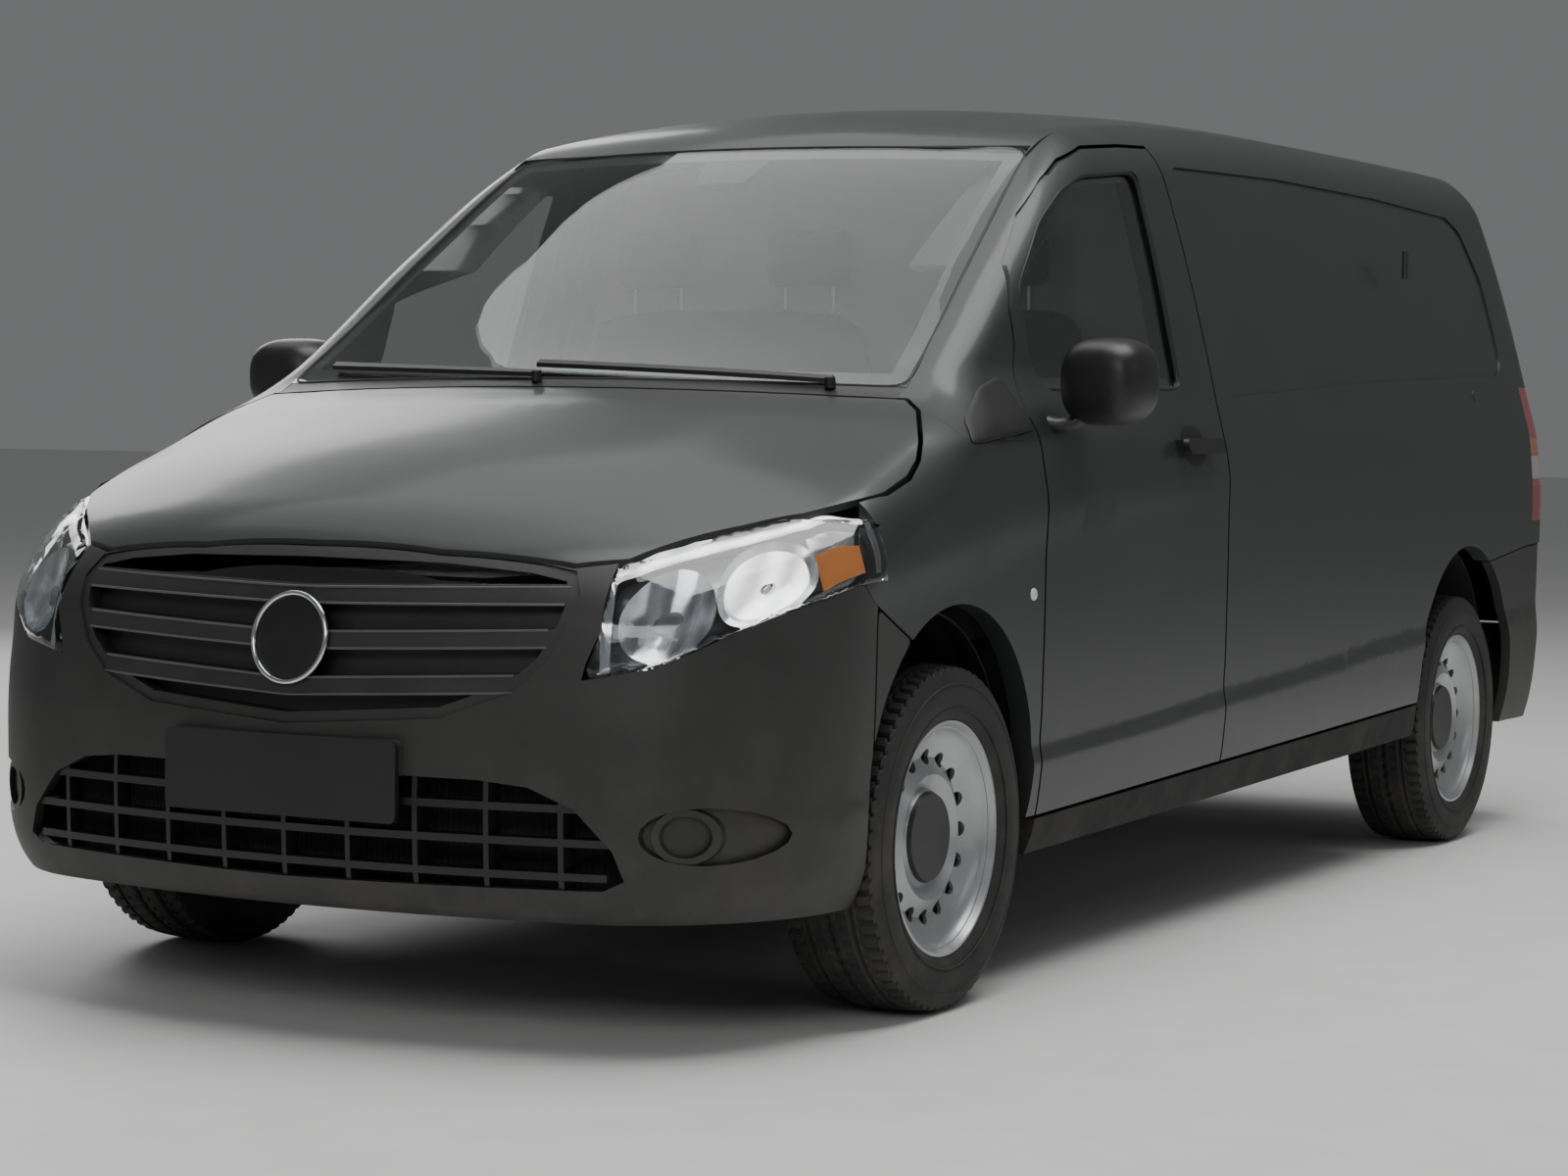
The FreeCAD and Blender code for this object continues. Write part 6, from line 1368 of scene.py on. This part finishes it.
@dataclass
class Fittings:
    """Small pieces: mirrors, repeaters, caps, dark discs of painted shade in the handle bowls, rear handle and
    hinges, radiator, and louvre edge ridges in a lighter grey that paints their highlights.

    A cap is listed by its name, its place and half sizes in a flat view, its rise over the skin, its finish, its
    body, the power of its superellipse and its view; one of a pair has its side's word added to name and body.
    """

    mirror_base: Table = ((-1.470, 1.098), (-1.165, 1.126), (-1.165, 1.235), (-1.281, 1.211), (-1.430, 1.142))
    arch_corner: Table = ((-1.8945, 0.548), (-1.8945, 0.796), (-1.840, 0.7705), (-1.790, 0.7468), (-1.758, 0.7315),
                          (-1.776, 0.714), (-1.7936, 0.700), (-1.832, 0.660), (-1.8542, 0.630), (-1.872, 0.600),
                          (-1.887, 0.566))
    louvres: Table = ((0.440, 0.428), (0.402, 0.384), (0.362, 0.340))
    louvre_half: float = 0.0155
    grille_edge: Table = ((0.340, 0.470), (0.365, 0.525), (0.400, 0.560), (0.435, 0.575), (0.456, 0.545))
    mirror: tuple[float, float, float] = (1.020, -1.010, 1.228)
    mirror_size: tuple[float, float, float] = (0.099, 0.090, 0.087)
    mirror_sweep: float = 0.012
    mirror_foot: tuple[tuple[float, float, float], ...] = ((0.898, -1.050, 1.140), (0.925, -1.044, 1.136),
                                                           (0.955, -1.034, 1.142), (0.990, -1.020, 1.172))
    pane_rings: Table = ((0.1, 0.0022), (0.5, 0.0020), (0.9, 0.0014), (1.0, 0.0008), (1.0, -0.004))
    hinges: Table = ((0.868, 0.760), (0.868, 1.560))
    badge: Pair = (0.0, 0.735)
    pairs: tuple[tuple, ...] = (
        # Handle bowl disc: a black rubber sheet on the door skin, painted shade of the bowl recess, which is body
        # colour.
        ("handle_bowl_", (-0.342, 1.091), (0.070, 0.046), 0.0012, SEAL_RUBBER, "front_door_", 2.2, View.SIDE),
        ("side_repeater_", (-1.212, 0.797), (0.014, 0.013), 0.006, CLEAR_CAP, "", 2.0, View.SIDE))
    singles: tuple[tuple, ...] = (
        ("fuel_cap_cover", (1.797, 1.217), (0.020, 0.020), 0.003, PAINT, "body", 2.0, View.SIDE),
        ("grille_cap", badge, (0.080, 0.080), 0.004, BLACK_PLASTIC, "body", 2.0, View.FRONT),
        ("rear_handle", (0.085, 1.030), (0.062, 0.017), 0.0065, BLACK_PLASTIC, "back_door_left", 3.5, View.BACK))
    dome: Table = ((0.05, 1.0), (0.3, 0.98), (0.55, 0.92), (0.75, 0.80), (0.88, 0.62), (0.96, 0.38), (1.0, 0.1))
    dish: Table = ((0.08, 1.0), (0.3, 1.0), (0.5, 1.0), (0.7, 1.0), (0.85, 1.0), (0.95, 1.0), (1.0, 0.6))

    def cover(self, name: str, side: Side, view: View, middle: Array, edge: Array, rise: float, table: Table,
              foot: float, finish: Finish, body: str, sharp: float) -> None:
        """A closed cap on the skin: rings shrink from its edge to its middle, each at its own height.

        Args:
            name: The piece's name.
            side: Which side of the van.
            view: View that it is laid out in.
            middle: Its middle there.
            edge: Its edge, from the middle.
            rise: Height over the skin.
            table: Size and height of each ring, as shares.
            foot: Height of the last ring, under the skin.
            finish: Its finish.
            body: Body that carries it.
            sharp: Angle past which an edge stays hard.
        """
        grow, lift = np.array(table).T
        plane = middle + np.append(grow, 1.0)[:, None, None] * edge
        skin = FORM.seen(view, plane)
        height = np.append(rise * lift, foot)[:, None, None]
        closed_grid(name, (skin + FORM.normal(skin) * height) * side.turn, finish, body, sharp)

    def cap(self, side: Side, name: str, centre: Pair, half: Pair, rise: float, finish: Finish, body: str,
            power: float, view: View) -> None:
        """A domed cap whose edge is a superellipse and whose rings rise as a circle does; see the class."""
        self.cover(name, side, view, np.array(centre), circle(56, 2 / power) * np.array(half), rise, self.dome,
                   -0.003, finish, body, 50.0)

    def patch(self, name: str, side: Side, outline: Table, rise: float, finish: Finish) -> None:
        """A thin cover of any outline on the side skin."""
        edge = softened(outline, 96, 4)
        middle = edge.mean(0)
        self.cover(name + side.word, side, View.SIDE, middle, edge - middle, rise, self.dish, -0.004, finish,
                   "body", 40.0)

    def mirror_housing(self, side: Side) -> None:
        """A door mirror's housing: a superellipsoid, fuller outboard and towards the glass, on a swept foot."""
        u = np.linspace(-np.pi / 2, np.pi / 2, 44)[1:-1][:, None]
        v = turns(72)
        y, ring = bend(np.sin(u), 0.75), bend(np.cos(u), 0.52)
        x, z = ring * bend(np.cos(v), 0.68), ring * bend(np.sin(v), 0.74)
        fuller = 1.0 + 0.04 * y
        low = np.where(z < 0, 1.0 - 0.10 * (x - 1) * 0.5, 1.0)
        (mx, my, mz), (hx, hy, hz) = self.mirror, self.mirror_size
        grid = stacked(mx + hx * x * fuller, my + hy * y - self.mirror_sweep * x, mz + hz * z * fuller * low)
        body = "front_door_" + side.word
        house = closed_grid("mirror_housing_" + side.word, grid * side.turn, BLACK_PLASTIC, body, 50.0)
        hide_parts("mirror_" + side.word)
        tube("mirror_foot_" + side.word, np.array(self.mirror_foot) * side.turn, (0.030, 0.028, 0.026, 0.024),
             BLACK_PLASTIC, body, 0.6, 24)

    def mirror_glass(self, side: Side) -> None:
        """The bright pane in a mirror's rear face, a slightly domed rounded rectangle."""
        c, s = circle(60, 0.45).T
        grow, rise = np.array(self.pane_rings).T[..., None]
        x, y, z = self.mirror
        grid = stacked(x + 0.074 * grow * c, y + self.mirror_size[1] - 0.002 + rise - self.mirror_sweep * grow * c,
                       z + 0.062 * grow * s)
        closed_grid("mirror_pane_" + side.word, grid * side.turn, MIRROR_GLASS, "front_door_" + side.word)

    def radiator(self) -> None:
        """The dark core behind the intake, a folded sheet whose depth follows a fine sine across."""
        x, z = spread(np.linspace(-0.69, 0.69, 500), np.linspace(0.240, 0.60, 5))
        front = stacked(x, -2.345 + 0.26 * x * x + 0.002 * np.sin(x * 2 * np.pi / 0.011), z)
        slab("radiator_core", front, front + np.array([0.0, 0.024, 0.0]), DARK_MESH)

    def louvre_edges(self) -> None:
        """Thin ridges along each louvre's upper and lower edge, dipping to the middle as the louvre does, in a satin
        grey lighter than the grille's plastic: a painted highlight along the edges.
        """
        half = FORM.width / 2
        for number, (outer, inner) in enumerate(self.louvres):
            end = half * float(straight(self.grille_edge, (outer + inner) / 2)) - 0.014
            x = np.linspace(-end, end, 70)
            for letter, way in zip("ab", (-1, 1)):
                z = FORM.height * (inner + (outer - inner) * np.abs(x) / half) + way * self.louvre_half
                skin = FORM.seen(View.FRONT, stacked(x, z))
                # Ridges in the lighter grey: real ridges carrying a painted highlight along each louvre edge.
                tube("louvre_edge_%d_%s" % (number, letter), skin - FORM.normal(skin) * 0.0062, 0.0026, LOUVRE_RIDGE_HIGHLIGHT,
                     around=10)

    def build(self) -> None:
        """Makes them all."""
        for side in Side:
            self.mirror_housing(side)
            self.mirror_glass(side)
            self.patch("mirror_base_cover_", side, self.mirror_base, 0.0040, SEAL_RUBBER)
            self.patch("arch_corner_", side, self.arch_corner, -0.0004, GREY_PLASTIC)
            for name, centre, half, rise, finish, body, power, view in self.pairs:
                self.cap(side, name + side.word, centre, half, rise, finish, body + side.word if body else "body",
                         power, view)
            for k, foot in enumerate(FORM.seen(View.BACK, np.array(self.hinges))):
                path = foot + stacked(0.0, 0.001, np.linspace(-0.036, 0.036, 9))
                tube("rear_hinge_%d_%s" % (k, side.word), path * side.turn, 0.0085, PAINT)
        for row in self.singles:
            self.cap(Side.LEFT, *row)
        ring = FORM.seen(View.FRONT, np.array(self.badge) + 0.081 * circle(120)) - np.array([0.0, 0.004, 0.0])
        tube("grille_cap_ring", ring, 0.0052, BRIGHT_METAL, around=12, closed=True)
        self.radiator()
        self.louvre_edges()


@dataclass
class Studio:
    """Plain pale floor, soft lights and the photograph's camera.

    A light is listed by its name, where it hangs, what it points at, its width and height, and its power in watts.
    """

    place: tuple[float, float, float] = (3.847, -7.5865, 1.160)
    yaw: float = 28.55
    pitch: float = 2.915
    roll: float = 0.594
    lens: float = 80.0
    sensor: float = 36.0
    reach: float = 60.0
    sky: Colour = (0.80, 0.81, 0.82)
    sky_strength: float = 0.20
    lights: tuple[tuple, ...] = (
        ("top_light", (1.7, -0.5, 7.5), (0.6, 0.0, 0.0), (6.6, 4.5), 520.0),
        ("front_light", (2.5, -9.5, 4.5), (0.0, -2.0, 0.8), (5.0, 2.5), 150.0),
        ("side_light", (9.5, -1.0, 3.8), (0.5, 0.0, 1.3), (9.0, 1.2), 35.0),
        ("sky_light", (-5.0, 2.4, 11.5), (0.0, -1.0, 1.5), (8.0, 7.0), 250.0),
        ("back_light", (-7.0, 5.0, 4.5), (0.0, 0.0, 1.0), (5.0, 3.0), 200.0))

    @staticmethod
    def put(data: bpy.types.ID, turn: Matrix, place: Sequence[float]) -> bpy.types.Object:
        """Places a camera or a light.

        Args:
            data: Its data.
            turn: Its rotation.
            place: Where it stands.

        Returns:
            Its object.
        """
        thing = bpy.data.objects.new(data.name, data)
        thing.matrix_world = Matrix.Translation(place) @ turn.to_4x4()
        bpy.context.scene.collection.objects.link(thing)
        return thing

    def camera(self) -> None:
        """Sets the camera where the photograph was taken from."""
        yaw, pitch, roll = (math.radians(a) for a in (self.yaw, self.pitch, self.roll))
        ahead = Vector((-math.sin(yaw) * math.cos(pitch), math.cos(yaw) * math.cos(pitch), -math.sin(pitch)))
        right = ahead.cross(Vector((0, 0, 1))).normalized()
        up = right.cross(ahead)
        right, up = (right * math.cos(roll) + up * math.sin(roll), up * math.cos(roll) - right * math.sin(roll))
        data = bpy.data.cameras.new("photo_camera")
        data.lens, data.sensor_width, data.sensor_fit = self.lens, self.sensor, "HORIZONTAL"
        data.clip_end = 200.0
        bpy.context.scene.camera = self.put(data, Matrix((right, up, -ahead)).transposed(), self.place)

    def floor(self) -> None:
        """A wide pale floor."""
        mesh, far = bpy.data.meshes.new("studio_floor"), self.reach
        mesh.from_pydata([(-far, -far, 0), (far, -far, 0), (far, far, 0), (-far, far, 0)], [], [(0, 1, 2, 3)])
        mesh.materials.append(Finish("pale_floor", (0.74, 0.74, 0.73), rough=0.65, uneven=0.02).build())
        floor = bpy.data.objects.new("studio_floor", mesh)
        bpy.context.scene.collection.objects.link(floor)

    def build(self) -> None:
        """Sets floor, world, lights and camera."""
        self.floor()
        world = bpy.data.worlds.new("studio")
        bpy.context.scene.world = world
        world.use_nodes = True
        tree = Tree(world.node_tree)
        background = tree.add("Background", {"Color": shade(self.sky), "Strength": self.sky_strength})
        tree.add("OutputWorld", {0: background.outputs[0]})
        for name, place, aim, size, power in self.lights:
            data = bpy.data.lights.new(name, "AREA")
            data.shape, data.size, data.size_y, data.energy = "RECTANGLE", *size, power
            way = Vector(aim) - Vector(place)
            self.put(data, way.to_track_quat("-Z", "Y").to_matrix(), place)
        self.camera()


def main() -> None:
    """Builds the dressed van on its frame, sub-assembly by sub-assembly."""
    logging.basicConfig(level=logging.INFO, format="%(message)s")
    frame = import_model()
    Studio().build()
    Carried(frame).dress()
    Panels(frame).build()
    Glazing(frame).build()
    for side in Side:
        Headlamp(frame, side).build()
    for place, x, y in (("fl", 0.833, -1.5525), ("fr", -0.833, -1.5525), ("rl", 0.823, 1.6475),
                        ("rr", -0.823, 1.6475)):
        Wheel(frame, place, (x, y, 0.338)).build()
    Seats().build()
    Fittings().build()
    bpy.context.view_layer.update()


if __name__ == "__main__":
    main()
